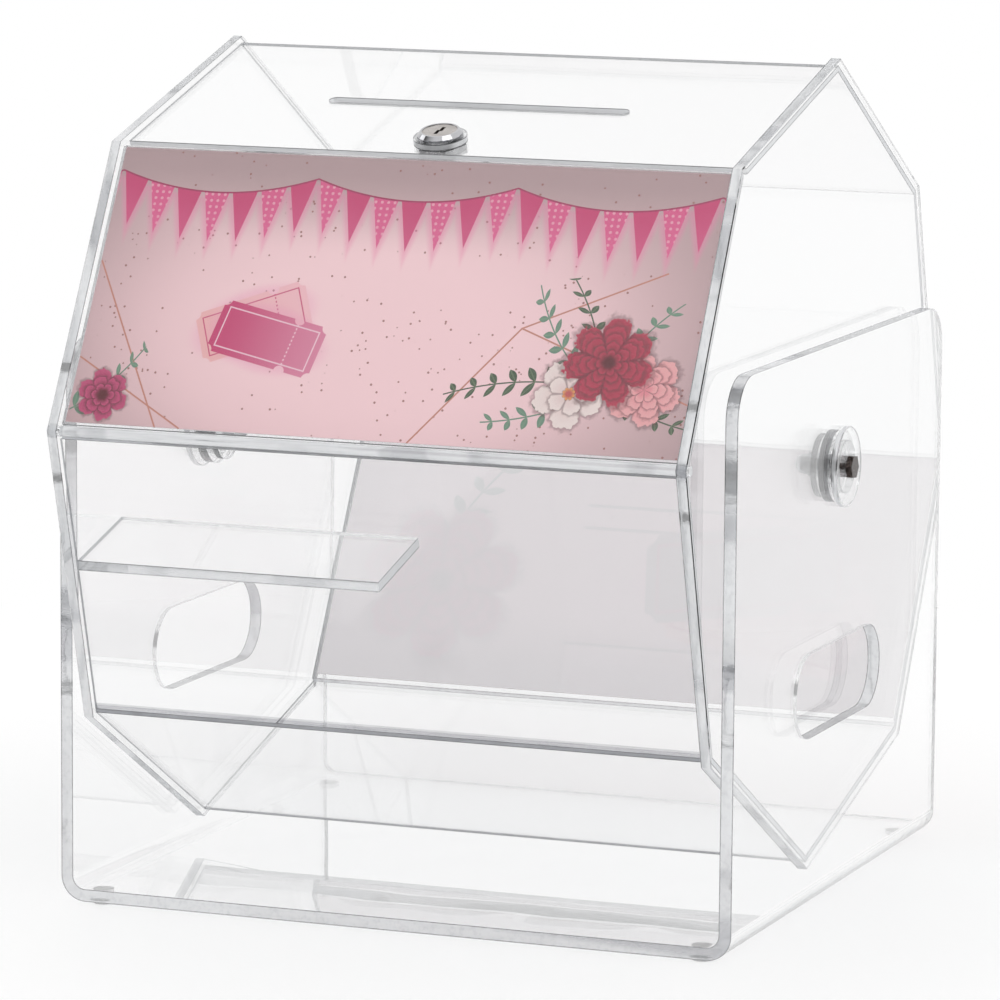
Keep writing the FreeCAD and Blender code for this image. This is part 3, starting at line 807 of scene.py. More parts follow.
def add_bump(graph: Graph, shader: Node, height: Feed, strength: float, distance: float) -> None:
    """Give a shader a bump.

    Args:
        graph: The material's graph.
        shader: Its Principled node.
        height: The height.
        strength: The bump's strength.
        distance: The height that a value of 1 stands for, in metres.
    """
    bump = graph.node("ShaderNodeBump")
    bump.inputs["Strength"].default_value = strength
    bump.inputs["Distance"].default_value = distance
    graph.feed(bump.inputs["Height"], height)
    graph.feed(shader.inputs["Normal"], bump.outputs["Normal"])


def put_in_scene(name: str, data: bpy.types.ID) -> bpy.types.Object:
    """Make an object of a mesh, a lamp or a camera and link it to the scene.

    Args:
        name: The object's name.
        data: What the object shows.

    Returns:
        The object.
    """
    made = bpy.data.objects.new(name, data)
    bpy.context.scene.collection.objects.link(made)
    return made


@dataclass(frozen=True)
class ClearSheet:
    """Clear acrylic. Its cut edges are the faces that don't face along the broad axis.

    The middle is how far the sheet's middle plane lies from the axle, along the broad axis. The frost is
    how much of a cut edge's look comes from its sawn surface, and the end frost is added where an edge
    faces sideways. The joint is the width of the cemented band at its lower end. The edge facing holds how
    squarely a face may meet the broad axis before it stops being a cut edge, and for a whole one. The two
    bands hold where the dark line of an arris, which is painted shade, or the end of a joint, starts and is
    full, in metres. The edge tint is grey painted shade on the cut edges, the glint sets how strong their
    painted highlights and painted dark reflections are, and the behind shade tint is painted shade on a
    sawn edge seen through the sheet.
    """

    name: str
    broad_axis: Sequence[float]
    middle: float = 0.0
    thickness: float = WALL_THICKNESS
    face_tint: Colour = (0.985, 0.986, 0.987)
    # Grey edge tint: painted shade on the cut edges, for light lost inside the sheet.
    edge_tint: Colour = (0.93, 0.935, 0.95)
    glint: float = 0.9
    wave: float = 0.05
    along: Sequence[float] = (0.03, 1.0, 1.0)
    frost: float = 0.32
    end_frost: float = 0.4
    ior: float = 1.49
    up: Sequence[float] = (0.0, 0.0, 1.0)
    joint: float = 0.0
    # Dark grey of the painted shade on a sawn edge seen through the sheet.
    behind_tint: Colour = (0.18, 0.185, 0.195)
    edge_facing: Point = (0.80, 0.45)
    arris_band: Point = (0.0006, 0.0002)
    joint_band: Point = (0.0002, -0.0001)
    flattening: float = 0.95

    def edge_mask(self, graph: Graph, coordinates: Node) -> Number:
        """The mask of the sheet's cut edges."""
        facing = graph.dot(coordinates.outputs["Normal"], self.broad_axis)
        return graph.ease(abs(facing), *self.edge_facing)

    def depth(self, graph: Graph, coordinates: Node) -> Number:
        """How far a point lies from the sheet's middle plane, in metres."""
        place = graph.vector("SUBTRACT", coordinates.outputs["Object"], AXLE)
        return abs(abs(graph.dot(place, self.broad_axis)) - self.middle)

    def arris_mask(self, graph: Graph, coordinates: Node) -> Number:
        """The mask of the two narrow lines where a cut edge meets the broad faces, which carry a painted
        dark line.
        """
        start, full = (self.thickness / 2 - inset for inset in self.arris_band)
        return graph.ease(self.depth(graph, coordinates), start, full)

    def joint_mask(self, graph: Graph, coordinates: Node) -> Feed:
        """Build the mask of the cemented band along the sheet's lower end.

        Args:
            graph: The material's graph.
            coordinates: Its Texture Coordinate node.

        Returns:
            The mask, or a plain 0 for a sheet without a joint.
        """
        if not self.joint:
            return 0.0
        place = graph.vector("SUBTRACT", coordinates.outputs["Object"], AXLE)
        height = graph.dot(place, self.up) + WALL_HALF
        return graph.ease(height, *(self.joint + past for past in self.joint_band))

    def flat_place(self, graph: Graph, coordinates: Node) -> Socket:
        """Take most of the part along the broad axis out of the position, so that marks cross an edge whole.

        Args:
            graph: The material's graph.
            coordinates: Its Texture Coordinate node.

        Returns:
            The socket of the flattened position.
        """
        place = coordinates.outputs["Object"]
        off = graph.dot(place, self.broad_axis) * self.flattening
        return graph.vector("SUBTRACT", place, graph.vector("SCALE", self.broad_axis, off))

    def frosted(self, graph: Graph, cut: Socket) -> Socket:
        """Build the sawn surface of a cut edge, with painted shade that makes it greyer where it is seen
        through the sheet.

        Args:
            graph: The material's graph.
            cut: The sawn surface's colour.

        Returns:
            The socket of its shader.
        """
        near = graph.coloured("ShaderNodeBsdfDiffuse", cut)
        # Painted shade: seen from inside the sheet, the sawn colour is mixed towards a dark grey.
        behind = graph.coloured("ShaderNodeBsdfTranslucent", graph.mix(0.65, cut, self.behind_tint))
        return graph.shaders(graph.node("ShaderNodeNewGeometry").outputs["Backfacing"], near, behind)

    def make(self) -> bpy.types.Material:
        """Build the material, which lets lamp light pass straight through.

        Returns:
            The material.
        """
        material, graph, shader, output = new_material(self.name)
        coordinates = graph.node("ShaderNodeTexCoord")
        edge = self.edge_mask(graph, coordinates)
        marks = graph.place(
            SheetMarks.tree(), Place=coordinates.outputs["Object"], Edge=edge,
            Flat=self.flat_place(graph, coordinates), Arris=self.arris_mask(graph, coordinates),
            Joint=self.joint_mask(graph, coordinates), Along=self.along, Face_Tint=self.face_tint,
            Edge_Tint=self.edge_tint, Glint=self.glint)
        shader.inputs["Transmission Weight"].default_value = 1.0
        shader.inputs["IOR"].default_value = self.ior
        graph.feed(shader.inputs["Base Color"], marks.outputs["Tint"])
        graph.feed(shader.inputs["Roughness"], marks.outputs["Roughness"])
        add_bump(graph, shader, marks.outputs["Height"], self.wave, 0.001)
        across, _, _ = graph.split(coordinates.outputs["Normal"])
        ends = graph.ease(abs(across), 0.6, 0.9) * self.end_frost
        body = graph.shaders(edge * (ends + self.frost), shader.outputs[0],
                             self.frosted(graph, marks.outputs["Cut"]))
        light = graph.node("ShaderNodeLightPath")
        straight = graph.larger(light.outputs["Is Shadow Ray"], light.outputs["Is Diffuse Ray"])
        through = graph.coloured("ShaderNodeBsdfTransparent", marks.outputs["Shade"])
        graph.feed(output.inputs["Surface"], graph.shaders(straight, body, through))
        return material


@dataclass(frozen=True)
class BentSheet(ClearSheet):
    """Clear acrylic bent into a U, whose cut edges face front and back, up at the top, and into holes."""

    bend_top: float = 0.03
    bend_centre: Point = (0.154, 0.014)
    bend_reach: float = 0.009

    def depth(self, graph: Graph, coordinates: Node) -> Number:
        """Measure how far a point lies from the sheet's middle surface, round the bends too.

        Args:
            graph: The material's graph.
            coordinates: Its Texture Coordinate node.

        Returns:
            The distance, in metres.
        """
        across, _, height = graph.split(coordinates.outputs["Object"])
        past = graph.larger(abs(across) - self.bend_centre[0], 0.0)
        under = graph.larger(self.bend_centre[1] - height, 0.0)
        return abs(graph.length(graph.join(past, under)) - self.bend_reach)

    def edge_mask(self, graph: Graph, coordinates: Node) -> Number:
        """Build the mask of the sheet's cut edges.

        Args:
            graph: The material's graph.
            coordinates: Its Texture Coordinate node.

        Returns:
            The mask.
        """
        across, along, _ = graph.split(coordinates.outputs["Normal"])
        _, _, height = graph.split(coordinates.outputs["Object"])
        ends = graph.ease(abs(along), *reversed(self.edge_facing))
        rims = graph.ease(abs(across), *self.edge_facing)
        return graph.larger(ends, rims * graph.above(height, self.bend_top))


@dataclass(frozen=True)
class Metal:
    """Bare or plated metal."""

    name: str
    colour: Colour
    low_roughness: float
    high_roughness: float
    lines: float = 0.0
    worn_colour: Colour = (0.5, 0.5, 0.5)

    def make(self) -> bpy.types.Material:
        """Build the material.

        Returns:
            The material.
        """
        material, graph, shader, _ = new_material(self.name)
        coordinates = graph.node("ShaderNodeTexCoord")
        marks = graph.place(
            MetalMarks.tree(), Place=coordinates.outputs["Object"], Lines=self.lines,
            Low_Roughness=self.low_roughness, High_Roughness=self.high_roughness)
        shader.inputs["Metallic"].default_value = 1.0
        tone = graph.mix(graph.read(marks, "Wear") * 0.35, self.colour, self.worn_colour)
        graph.feed(shader.inputs["Base Color"], tone)
        graph.feed(shader.inputs["Roughness"], marks.outputs["Roughness"])
        add_bump(graph, shader, marks.outputs["Height"], 0.25, 0.0002)
        return material


@dataclass(frozen=True)
class Bumper:
    """Clear soft rubber."""

    name: str = "clear_bumper"
    colour: Colour = (0.94, 0.93, 0.91)
    dust_colour: Colour = (0.66, 0.67, 0.68)
    dust_scale: float = 700.0
    clearness: float = 0.8
    ior: float = 1.45

    def make(self) -> bpy.types.Material:
        """Build the material.

        Returns:
            The material.
        """
        material, graph, shader, _ = new_material(self.name)
        coordinates = graph.node("ShaderNodeTexCoord")
        dust = graph.noise(coordinates.outputs["Object"], self.dust_scale, 3.0)
        shader.inputs["Transmission Weight"].default_value = self.clearness
        shader.inputs["IOR"].default_value = self.ior
        graph.feed(shader.inputs["Base Color"], graph.mix(dust, self.colour, self.dust_colour))
        graph.feed(shader.inputs["Roughness"], graph.blend(dust, 0.25, 0.5))
        add_bump(graph, shader, dust, 0.2, 0.0002)
        return material


@dataclass(frozen=True)
class Stem:
    """Where and how one leafy stem grows. Its sizes are in millimetres and its turn in radians."""

    start: Point
    turn: float
    length: float
    spacing: float
    leaf: float
    curve: float
    green: Colour

    def draw(self, graph: Graph, place: Socket, under: Feed) -> Socket:
        """Print the stem and return the socket of the colour with it."""
        return Sprig.over(graph, place, under, Start=(*self.start, 0.0), Turn=self.turn, Length=self.length,
                          Spacing=self.spacing, Leaf=self.leaf, Curve=self.curve, Green=self.green)


@dataclass(frozen=True)
class Flower:
    """Where a flower of several rings of petals stands, its reach in millimetres and its colours."""

    centre: Point
    radius: float
    petals: float
    rings: int
    outer: Colour
    inner: Colour

    def draw(self, graph: Graph, place: Socket, under: Feed) -> Socket:
        """Print the rings, from the widest to the smallest.

        Args:
            graph: The material's graph.
            place: The position on the card.
            under: The colour under the flower.

        Returns:
            The socket of the colour with the flower over it.
        """
        for ring in range(self.rings):
            share = 1.0 - ring / (self.rings + 0.6)
            under = Blossom.over(graph, place, under, Centre=(*self.centre, 0.0), Radius=self.radius * share,
                                 Petals=self.petals, Turn=0.9 * ring + 0.3, Outer=self.outer,
                                 Inner=self.inner)
        return under


@dataclass(frozen=True)
class PrintedCard:
    """A printed card. Its pattern is drawn in millimetres across and up the card."""

    name: str = "printed_card"
    wall: Wall = Wall.DOOR
    # Pale to ground to the dark mauve: the card's pink, darkened from the middle towards the edges, the top
    # and the sides by painted shade. The rear card also prints rules and a ticket in the mauve.
    pale: Colour = (0.99, 0.665, 0.69)
    ground: Colour = (0.84, 0.56, 0.58)
    dusk: Colour = (0.42, 0.285, 0.29)
    grain: Colour = (0.55, 0.36, 0.42)
    mottle: Colour = (0.95, 0.72, 0.76)
    magenta: Colour = (0.60, 0.035, 0.16)
    rose: Colour = (0.72, 0.09, 0.25)
    glow: Colour = (0.85, 0.20, 0.40)
    spot: Colour = (0.90, 0.55, 0.62)
    fold: Colour = (0.90, 0.22, 0.42)
    string: Colour = (0.38, 0.02, 0.10)
    ticket_line: Colour = (0.95, 0.66, 0.74)
    rule_ink: Colour = (0.58, 0.24, 0.18)
    red: Colour = (0.62, 0.04, 0.10)
    crimson: Colour = (0.12, 0.004, 0.012)
    blush: Colour = (0.88, 0.46, 0.46)
    cream: Colour = (0.90, 0.78, 0.74)
    gold: Colour = (0.30, 0.10, 0.075)
    green: Colour = (0.045, 0.085, 0.045)
    sage: Colour = (0.14, 0.27, 0.20)
    back: Colour = (0.97, 0.945, 0.95)
    back_mottle: Colour = (0.70, 0.675, 0.68)
    back_print: float = 0.13
    swag_width: float = 98.0
    swag_sag: float = 9.0
    string_top: float = 60.0
    pennant_width: float = 14.0
    pennant_drop: float = 25.0

    def position(self, graph: Graph) -> Socket:
        """Measure the place on the card.

        Args:
            graph: The material's graph.

        Returns:
            The socket of the millimetres across the card and up it, from the wall's middle.
        """
        coordinates = graph.node("ShaderNodeTexCoord")
        place = graph.vector("SUBTRACT", coordinates.outputs["Object"], AXLE)
        across, _, _ = graph.split(place)
        return graph.join(across * 1000.0, graph.dot(place, self.wall.up) * 1000.0)

    def paper(self, graph: Graph, place: Socket) -> Socket:
        """Build the pink ground, pale in the middle and darker towards the edges, darkest towards the top
        and the sides. This darkening is painted shade.

        Args:
            graph: The material's graph.
            place: The position on the card.

        Returns:
            The socket of its colour.
        """
        across, up, _ = graph.split(place)
        middle = graph.length(graph.join((across + 8.0) / 150.0, (up + 14.0) / 92.0))
        # Painted shade: the ground falls from pale in the middle to darker towards the edges.
        tone = graph.mix(graph.ease(middle, 0.35, 0.95), self.pale, self.ground)
        # Painted shade: darker still towards the top and the sides, towards the mauve.
        painted_darkening = graph.larger(graph.ease(up, 22.0, 66.0) * 1.16, graph.ease(middle, 0.62, 1.25))
        tone = graph.mix(painted_darkening * 0.85, tone, self.dusk)
        grain = graph.ease(graph.noise(place, 2.4), 0.35, 0.65)
        tone = graph.mix(grain * 0.06, tone, self.grain)
        return graph.mix(graph.noise(place, 0.9, 3.0) * 0.10, tone, self.mottle)

    def confetti(self, graph: Graph, place: Socket, under: Feed) -> Socket:
        """Print small rose-gold specks, in drifts.

        Args:
            graph: The material's graph.
            place: The position on the card.
            under: The colour under them.

        Returns:
            The socket of the colour with them.
        """
        specks = graph.dots(place, 0.30)
        chance, _, _ = graph.split(specks.outputs["Color"])
        drift = graph.ease(graph.noise(place, 0.018, 1.0), 0.40, 0.62)
        kept = graph.below(chance, graph.blend(drift, 0.06, 0.50))
        speck = graph.ease(specks.outputs["Distance"], 0.20, 0.14)
        return graph.mix(speck * kept * 0.85, under, self.gold)

    def pennants(self, graph: Graph, place: Socket, under: Feed) -> Socket:
        """Print a string of pennants in three swags along the top, every other one spotted.

        Args:
            graph: The material's graph.
            place: The position on the card.
            under: The colour under them.

        Returns:
            The socket of the colour with them.
        """
        across, up, _ = graph.split(place)
        shifted = across + self.swag_width * 1.5
        swag = shifted % self.swag_width - self.swag_width / 2
        sag = (1.0 - (swag / (self.swag_width / 2)) ** 2.0) * self.swag_sag
        drop = self.string_top - sag - up
        from_middle = abs(shifted % self.pennant_width - self.pennant_width / 2)
        gap = (1.0 - drop / self.pennant_drop) * 6.3 - from_middle
        cloth = graph.ease(gap, -0.1, 0.25) * graph.ease(drop, -0.1, 0.15)
        odd = graph.above(shifted % (self.pennant_width * 2), self.pennant_width)
        spots = graph.dots(place, 0.32, 0.0)
        spot = graph.ease(spots.outputs["Distance"], 0.26, 0.20) * odd
        ink = graph.mix(spot * 0.55, graph.mix(odd, self.magenta, self.rose), self.spot)
        ink = graph.mix(graph.ease(drop / self.pennant_drop, 0.0, 1.0) * 0.25, ink, self.fold)
        below = drop - 2.2
        glow_gap = (1.0 - below / 27.0) * 7.6 - from_middle
        glow = graph.ease(glow_gap, -2.4, 1.2) * graph.ease(below, -1.5, 2.0)
        shaded = graph.mix(glow * 0.45, under, self.glow)
        string = graph.ease(abs(drop), 0.55, 0.3)
        return graph.mix(string, graph.mix(cloth, shaded, ink), self.string)

    def tickets(self, graph: Graph, place: Socket, under: Feed) -> Socket:
        """Print two crossed tickets, left of the middle.

        Args:
            graph: The material's graph.
            place: The position on the card.
            under: The colour under them.

        Returns:
            The socket of the colour with them.
        """
        back = Ticket.over(graph, place, under, Centre=(-66.0, -12.0, 0.0), Turn=0.38, Ink=self.blush,
                           Line=self.magenta)
        return Ticket.over(graph, place, back, Centre=(-58.0, -20.0, 0.0), Turn=-0.22, Ink=self.magenta,
                           Line=self.ticket_line)

    def rules(self, graph: Graph, place: Socket, under: Feed) -> Socket:
        """Print thin rose-gold lines that cross behind the flowers.

        Args:
            graph: The material's graph.
            place: The position on the card.
            under: The colour under them.

        Returns:
            The socket of the colour with them.
        """
        spans = (((20, -66), (64, -8)), ((64, -8), (148, -40)), ((64, -8), (128, 22)),
                 ((-148, 14), (-104, -66)), ((-148, -34), (-92, -66)))
        for start, end in spans:
            under = Rule.over(graph, place, under, From=(*start, 0.0), To=(*end, 0.0), Width=0.42,
                              Ink=self.rule_ink)
        return under

    def growth(self) -> tuple[Union[Stem, Flower], ...]:
        """List what grows on the card.

        Returns:
            The leafy stems, then the flowers at the lower right, the one at the lower left and an eye.
        """
        return (
            Stem((96, -34), 3.02, 62.0, 9.0, 9.5, 0.004, self.green),
            Stem((98, -30), 2.45, 50.0, 8.0, 8.5, -0.006, self.sage),
            Stem((104, -26), 1.72, 46.0, 8.5, 8.0, 0.006, self.green),
            Stem((112, -26), 1.15, 42.0, 8.0, 8.0, -0.006, self.sage),
            Stem((92, -44), 3.55, 40.0, 8.0, 8.5, -0.004, self.sage),
            Stem((118, -40), -0.55, 34.0, 8.0, 8.0, 0.006, self.green),
            Stem((-148, -60), 0.55, 44.0, 8.0, 7.5, 0.006, self.sage),
            Flower((92, -38), 17.0, 5.0, 2, self.cream, (0.80, 0.62, 0.60)),
            Flower((127, -34), 18.0, 6.0, 4, self.blush, (0.78, 0.26, 0.30)),
            Flower((108, -22), 22.0, 7.0, 5, self.red, self.crimson),
            Flower((-133, -52), 13.0, 6.0, 3, self.rose, self.crimson),
            Flower((92, -38), 3.2, 8.0, 1, (0.85, 0.45, 0.10), (0.60, 0.10, 0.10)),
        )

    def print_on(self, graph: Graph, place: Socket) -> Socket:
        """Print the whole card, from the paper up.

        Args:
            graph: The material's graph.
            place: The position on the card.

        Returns:
            The socket of the finished colour.
        """
        colour = self.paper(graph, place)
        for layer in (self.confetti, self.rules, self.pennants, self.tickets):
            colour = layer(graph, place, colour)
        for plant in self.growth():
            colour = plant.draw(graph, place, colour)
        return colour

    def make(self) -> bpy.types.Material:
        """Build the material, printed on its outer face and nearly plain on its back.

        Returns:
            The material.
        """
        material, graph, shader, _ = new_material(self.name)
        place = self.position(graph)
        colour = self.print_on(graph, place)
        tooth = graph.noise(place, 3.0, 4.0)
        facing = graph.dot(graph.node("ShaderNodeTexCoord").outputs["Normal"], self.wall.outward)
        back = graph.mix(self.back_print, graph.mix(tooth * 0.08, self.back, self.back_mottle), colour)
        graph.feed(shader.inputs["Base Color"], graph.mix(graph.ease(facing, -0.5, 0.0), back, colour))
        graph.feed(shader.inputs["Roughness"], graph.blend(tooth, 0.42, 0.6))
        add_bump(graph, shader, tooth, 0.1, 0.0001)
        return material


@dataclass(frozen=True)
class RearCard(PrintedCard):
    """The rear card, whose print is laid out another way and only shows through its back."""

    name: str = "rear_printed_card"
    wall: Wall = Wall.REAR_LOWER
    print_scale: float = 0.55

    def print_on(self, graph: Graph, place: Socket) -> Socket:
        """Print a large flower, two large tickets and rules on the pink paper.

        Args:
            graph: The material's graph.
            place: The position on the card.

        Returns:
            The socket of the finished colour.
        """
        colour = self.confetti(graph, place, self.paper(graph, place))
        for height in (-34.0, -22.0, 40.0):
            colour = Rule.over(graph, place, colour, From=(-20.0, height, 0.0), To=(130.0, height, 0.0),
                               Width=0.9, Ink=self.dusk)
        large = graph.vector("SCALE", place, self.print_scale)
        for centre, turn, ink in (((44.0, 10.0), 0.2, self.blush), ((36.0, -2.0), -0.15, self.dusk)):
            colour = Ticket.over(graph, large, colour, Centre=(*centre, 0.0), Turn=turn, Ink=ink,
                                 Line=self.magenta)
        colour = Stem((-52.0, -4.0), -1.2, 34.0, 8.0, 8.0, 0.006, self.green).draw(graph, large, colour)
        return Flower((-92, 12), 42.0, 7.0, 5, self.rose, self.crimson).draw(graph, place, colour)


@dataclass(frozen=True)
class Acrylics:
    """The clear finishes, one for each way that a sheet faces."""

    # Grey painted shade on the walls' cut edges.
    wall_edge: Colour = (0.80, 0.81, 0.83)
    # A slightly darker face tint on the bottom walls: painted shade over the drum's inside bottom.
    bottom_face: Colour = (0.968, 0.969, 0.971)
    bottom: tuple[Wall, ...] = (Wall.BOTTOM_FRONT, Wall.BOTTOM_REAR)
    ends: ClearSheet = ClearSheet("end_plate_sheet", SIDEWAYS, END_INSIDE + END_THICKNESS / 2,
                                  END_THICKNESS, along=(1.0, 0.2, 0.2))
    hub: ClearSheet = ClearSheet("hub_acrylic", SIDEWAYS, DISC_MIDDLE, DISC_THICKNESS,
                                 face_tint=(0.97, 0.973, 0.976), edge_tint=(0.90, 0.905, 0.92),
                                 along=(1.0, 0.1, 0.1), frost=0.45)
    core: ClearSheet = ClearSheet("hub_core_acrylic", SIDEWAYS, DISC_MIDDLE, DISC_THICKNESS,
                                  edge_tint=(0.94, 0.945, 0.95), along=(1.0, 0.1, 0.1), glint=0.4,
                                  frost=0.25, ior=1.3)
    cradle: BentSheet = BentSheet("cradle_sheet", SIDEWAYS, thickness=CRADLE_THICKNESS, wave=0.12,
                                  along=(0.3, 1.0, 0.3))
    rod: ClearSheet = ClearSheet("rod_acrylic", NO_AXIS, edge_tint=(0.93, 0.94, 0.95), glint=0.5)
    nut: ClearSheet = ClearSheet("nut_acrylic", NO_AXIS, edge_tint=(0.96, 0.965, 0.97), glint=0.4,
                                 frost=0.35)

    @classmethod
    def wall(cls, wall: Wall, outer: float = WALL_OUT, thickness: float = WALL_THICKNESS,
             part: str = "sheet") -> ClearSheet:
        """The finish of a sheet that lies along a wall of the drum.

        Args:
            wall: The wall.
            outer: How far its outer face lies from the axle, in metres.
            thickness: The sheet's thickness, in metres.
            part: The last word of the material's name.

        Returns:
            The finish.
        """
        return ClearSheet(
            f"{wall.name.lower()}_{part}", wall.outward, outer - thickness / 2, thickness,
            edge_tint=cls.wall_edge, glint=0.5, up=wall.up, joint=wall.joint,
            face_tint=cls.bottom_face if wall in cls.bottom else ClearSheet.face_tint)

    @classmethod
    def rim(cls, wall: Wall) -> ClearSheet:
        """The finish of a pocket's rim strip, which hardly shows."""
        return ClearSheet(f"{wall.name.lower()}_rim", wall.outward, COVER_IN, RIM_THICKNESS,
                          edge_tint=ClearSheet.face_tint, glint=0.0, frost=0.0, ior=1.05)

    @classmethod
    def across(cls, wall: Wall, middle: float, thickness: float) -> ClearSheet:
        """The finish of a sheet that stands square to a wall of the drum.

        Args:
            wall: The wall.
            middle: How far up the wall the sheet's middle plane lies, in metres.
            thickness: The sheet's thickness, in metres.

        Returns:
            The finish.
        """
        return ClearSheet(f"{wall.name.lower()}_cross_sheet", wall.up, middle, thickness, glint=0.5)


class Dresser:
    """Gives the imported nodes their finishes."""

    def dress(self, node: str, finish: bpy.types.Material) -> None:
        """Put one finish on every material slot of a node.

        Args:
            node: The node's name.
            finish: The material.
        """
        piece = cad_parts[node]
        if not piece.material_slots:
            piece.data.materials.append(finish)
        for slot in piece.material_slots:
            slot.material = finish
        log.info("dressed %s with %s", node, finish.name)

    def slim(self, node: str, body: str, finish: bpy.types.Material) -> None:
        """Put a copy of a node in its place, a hair smaller, so that no two clear faces lie in one plane.

        Args:
            node: The node's name.
            body: The body that it rides on.
            finish: The material.
        """
        shape = bmesh.new()
        shape.from_mesh(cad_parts[node].data)
        bmesh.ops.remove_doubles(shape, verts=shape.verts, dist=1e-6)
        shape.normal_update()
        for vert in shape.verts:
            vert.co -= vert.normal * HAIR
        mesh = bpy.data.meshes.new(f"{node}_slim")
        shape.to_mesh(mesh)
        shape.free()
        mesh.materials.clear()
        mesh.materials.append(finish)
        piece = put_in_scene(f"{node}_slim", mesh)
        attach(piece, body)
        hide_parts(node)
        log.info("laid %s over %s", piece.name, node)


@dataclass
class Cradle(Dresser):
    """The bent sheet that carries the drum, and its feet."""

    sheet: BentSheet = Acrylics.cradle
    bumper: Bumper = Bumper()

    def build(self) -> None:
        """Dress the cradle and its feet."""
        self.dress("cradle", self.sheet.make())
        bumper = self.bumper.make()
        for side in Side:
            for end in ("front", "rear"):
                self.dress(f"foot_{end}_{side.word}", bumper)


@dataclass
class Drum(Dresser):
    """The end plates, the fixed walls and the paddle."""

    walls: dict[str, Wall] = field(default_factory=lambda: {
        "roof_panel_rear": Wall.ROOF_REAR, "rear_panel_upper": Wall.REAR_UPPER,
        "bottom_panel_rear": Wall.BOTTOM_REAR, "bottom_panel_front": Wall.BOTTOM_FRONT,
        "front_panel_lower": Wall.FRONT_LOWER,
    })

    def build(self) -> None:
        """Dress the drum's sheets. The front roof's cut edges are the frostiest, and plain."""
        ends = Acrylics.ends.make()
        for side in Side:
            self.dress(f"end_plate_{side.word}", ends)
        roof = replace(Acrylics.wall(Wall.ROOF_FRONT), frost=0.8, glint=0.1)
        self.dress("roof_panel_front", roof.make())
        for node, wall in self.walls.items():
            self.dress(node, Acrylics.wall(wall).make())
        paddle = Acrylics.across(Wall.FRONT_LOWER, PADDLE_UP, PADDLE_THICKNESS)
        self.dress("mixing_paddle", paddle.make())


@dataclass
class Hubs(Dresser):
    """Everything on the axle line."""

    bolt: Metal = Metal("black_bolt", (0.035, 0.028, 0.026), 0.12, 0.3, worn_colour=(0.16, 0.13, 0.12))

    def build(self) -> None:
        """Dress the discs, the stubs, the rings, the bolts and the nuts of both hubs."""
        clear, core, nut = (finish.make() for finish in (Acrylics.hub, Acrylics.core, Acrylics.nut))
        bolt = self.bolt.make()
        for side in Side:
            self.dress(f"hub_disc_{side.word}", clear)
            self.slim(f"hub_stub_{side.word}", "drum", core)
            self.slim(f"inner_disc_{side.word}", "drum", core)
            self.slim(f"spacer_ring_{side.word}", f"ring_{side.word}", core)
            self.dress(f"hub_bolt_{side.word}", bolt)
            self.dress(f"cap_nut_{side.word}", nut)


@dataclass
class Pocket(Dresser):
    """A sheet with a card held on it by a rim and a thin cover."""

    wall: Wall
    body: str
    sheet: str
    rim: str
    cover: str
    card: str
    finish: PrintedCard

    def build(self) -> None:
        """Dress the sheet, the cover and the card, and lay the rim between them."""
        self.dress(self.sheet, Acrylics.wall(self.wall, DOOR_OUT).make())
        self.slim(self.rim, self.body, Acrylics.rim(self.wall).make())
        self.dress(self.cover, Acrylics.wall(self.wall, WALL_OUT, COVER_THICKNESS, "cover").make())
        self.dress(self.card, self.finish.make())


@dataclass
class Door(Dresser):
    """The door's hinge rod and the tab that the lock catches."""

    def build(self) -> None:
        """Dress the rod and the tab."""
        self.dress("door_hinge_rod", Acrylics.rod.make())
        self.dress("lock_tab", Acrylics.across(Wall.DOOR, TAB_UP, TAB_THICKNESS).make())


@dataclass
class Lock(Dresser):
    """The cam lock on the front roof wall."""

    chrome: Metal = Metal("lock_chrome", (0.52, 0.52, 0.54), 0.05, 0.16)
    plug: Metal = Metal("lock_plug", (0.50, 0.47, 0.45), 0.26, 0.4, lines=1.0,
                        worn_colour=(0.38, 0.35, 0.33))
    zinc: Metal = Metal("lock_zinc", (0.60, 0.60, 0.61), 0.22, 0.4, lines=0.5)
    ring_thickness: float = 0.003

    def build(self) -> None:
        """Dress the lock."""
        self.dress("lock_body", self.chrome.make())
        self.dress("lock_plug", self.plug.make())
        zinc = self.zinc.make()
        for node in ("lock_nut", "lock_cam", "cam_screw"):
            self.dress(node, zinc)
        ring = ClearSheet("lock_ring_acrylic", Wall.ROOF_FRONT.outward, WALL_OUT + self.ring_thickness / 2,
                          self.ring_thickness, face_tint=(0.93, 0.935, 0.94),
                          edge_tint=(0.86, 0.865, 0.87), frost=0.4)
        self.dress("lock_spacer_ring", ring.make())


@dataclass(frozen=True)
class Lamp:
    """A square soft lamp that faces the drum. Its side is in metres and its power in watts."""

    name: str
    place: tuple[float, float, float]
    side: float
    power: float

    def build(self) -> None:
        """Make the lamp."""
        data = bpy.data.lights.new(self.name, "AREA")
        data.size = self.side
        data.energy = self.power
        lamp = put_in_scene(self.name, data)
        lamp.location = self.place
        lamp.rotation_euler = (AXLE - Vector(self.place)).to_track_quat("-Z", "Y").to_euler()
        log.info("made the lamp %s", self.name)


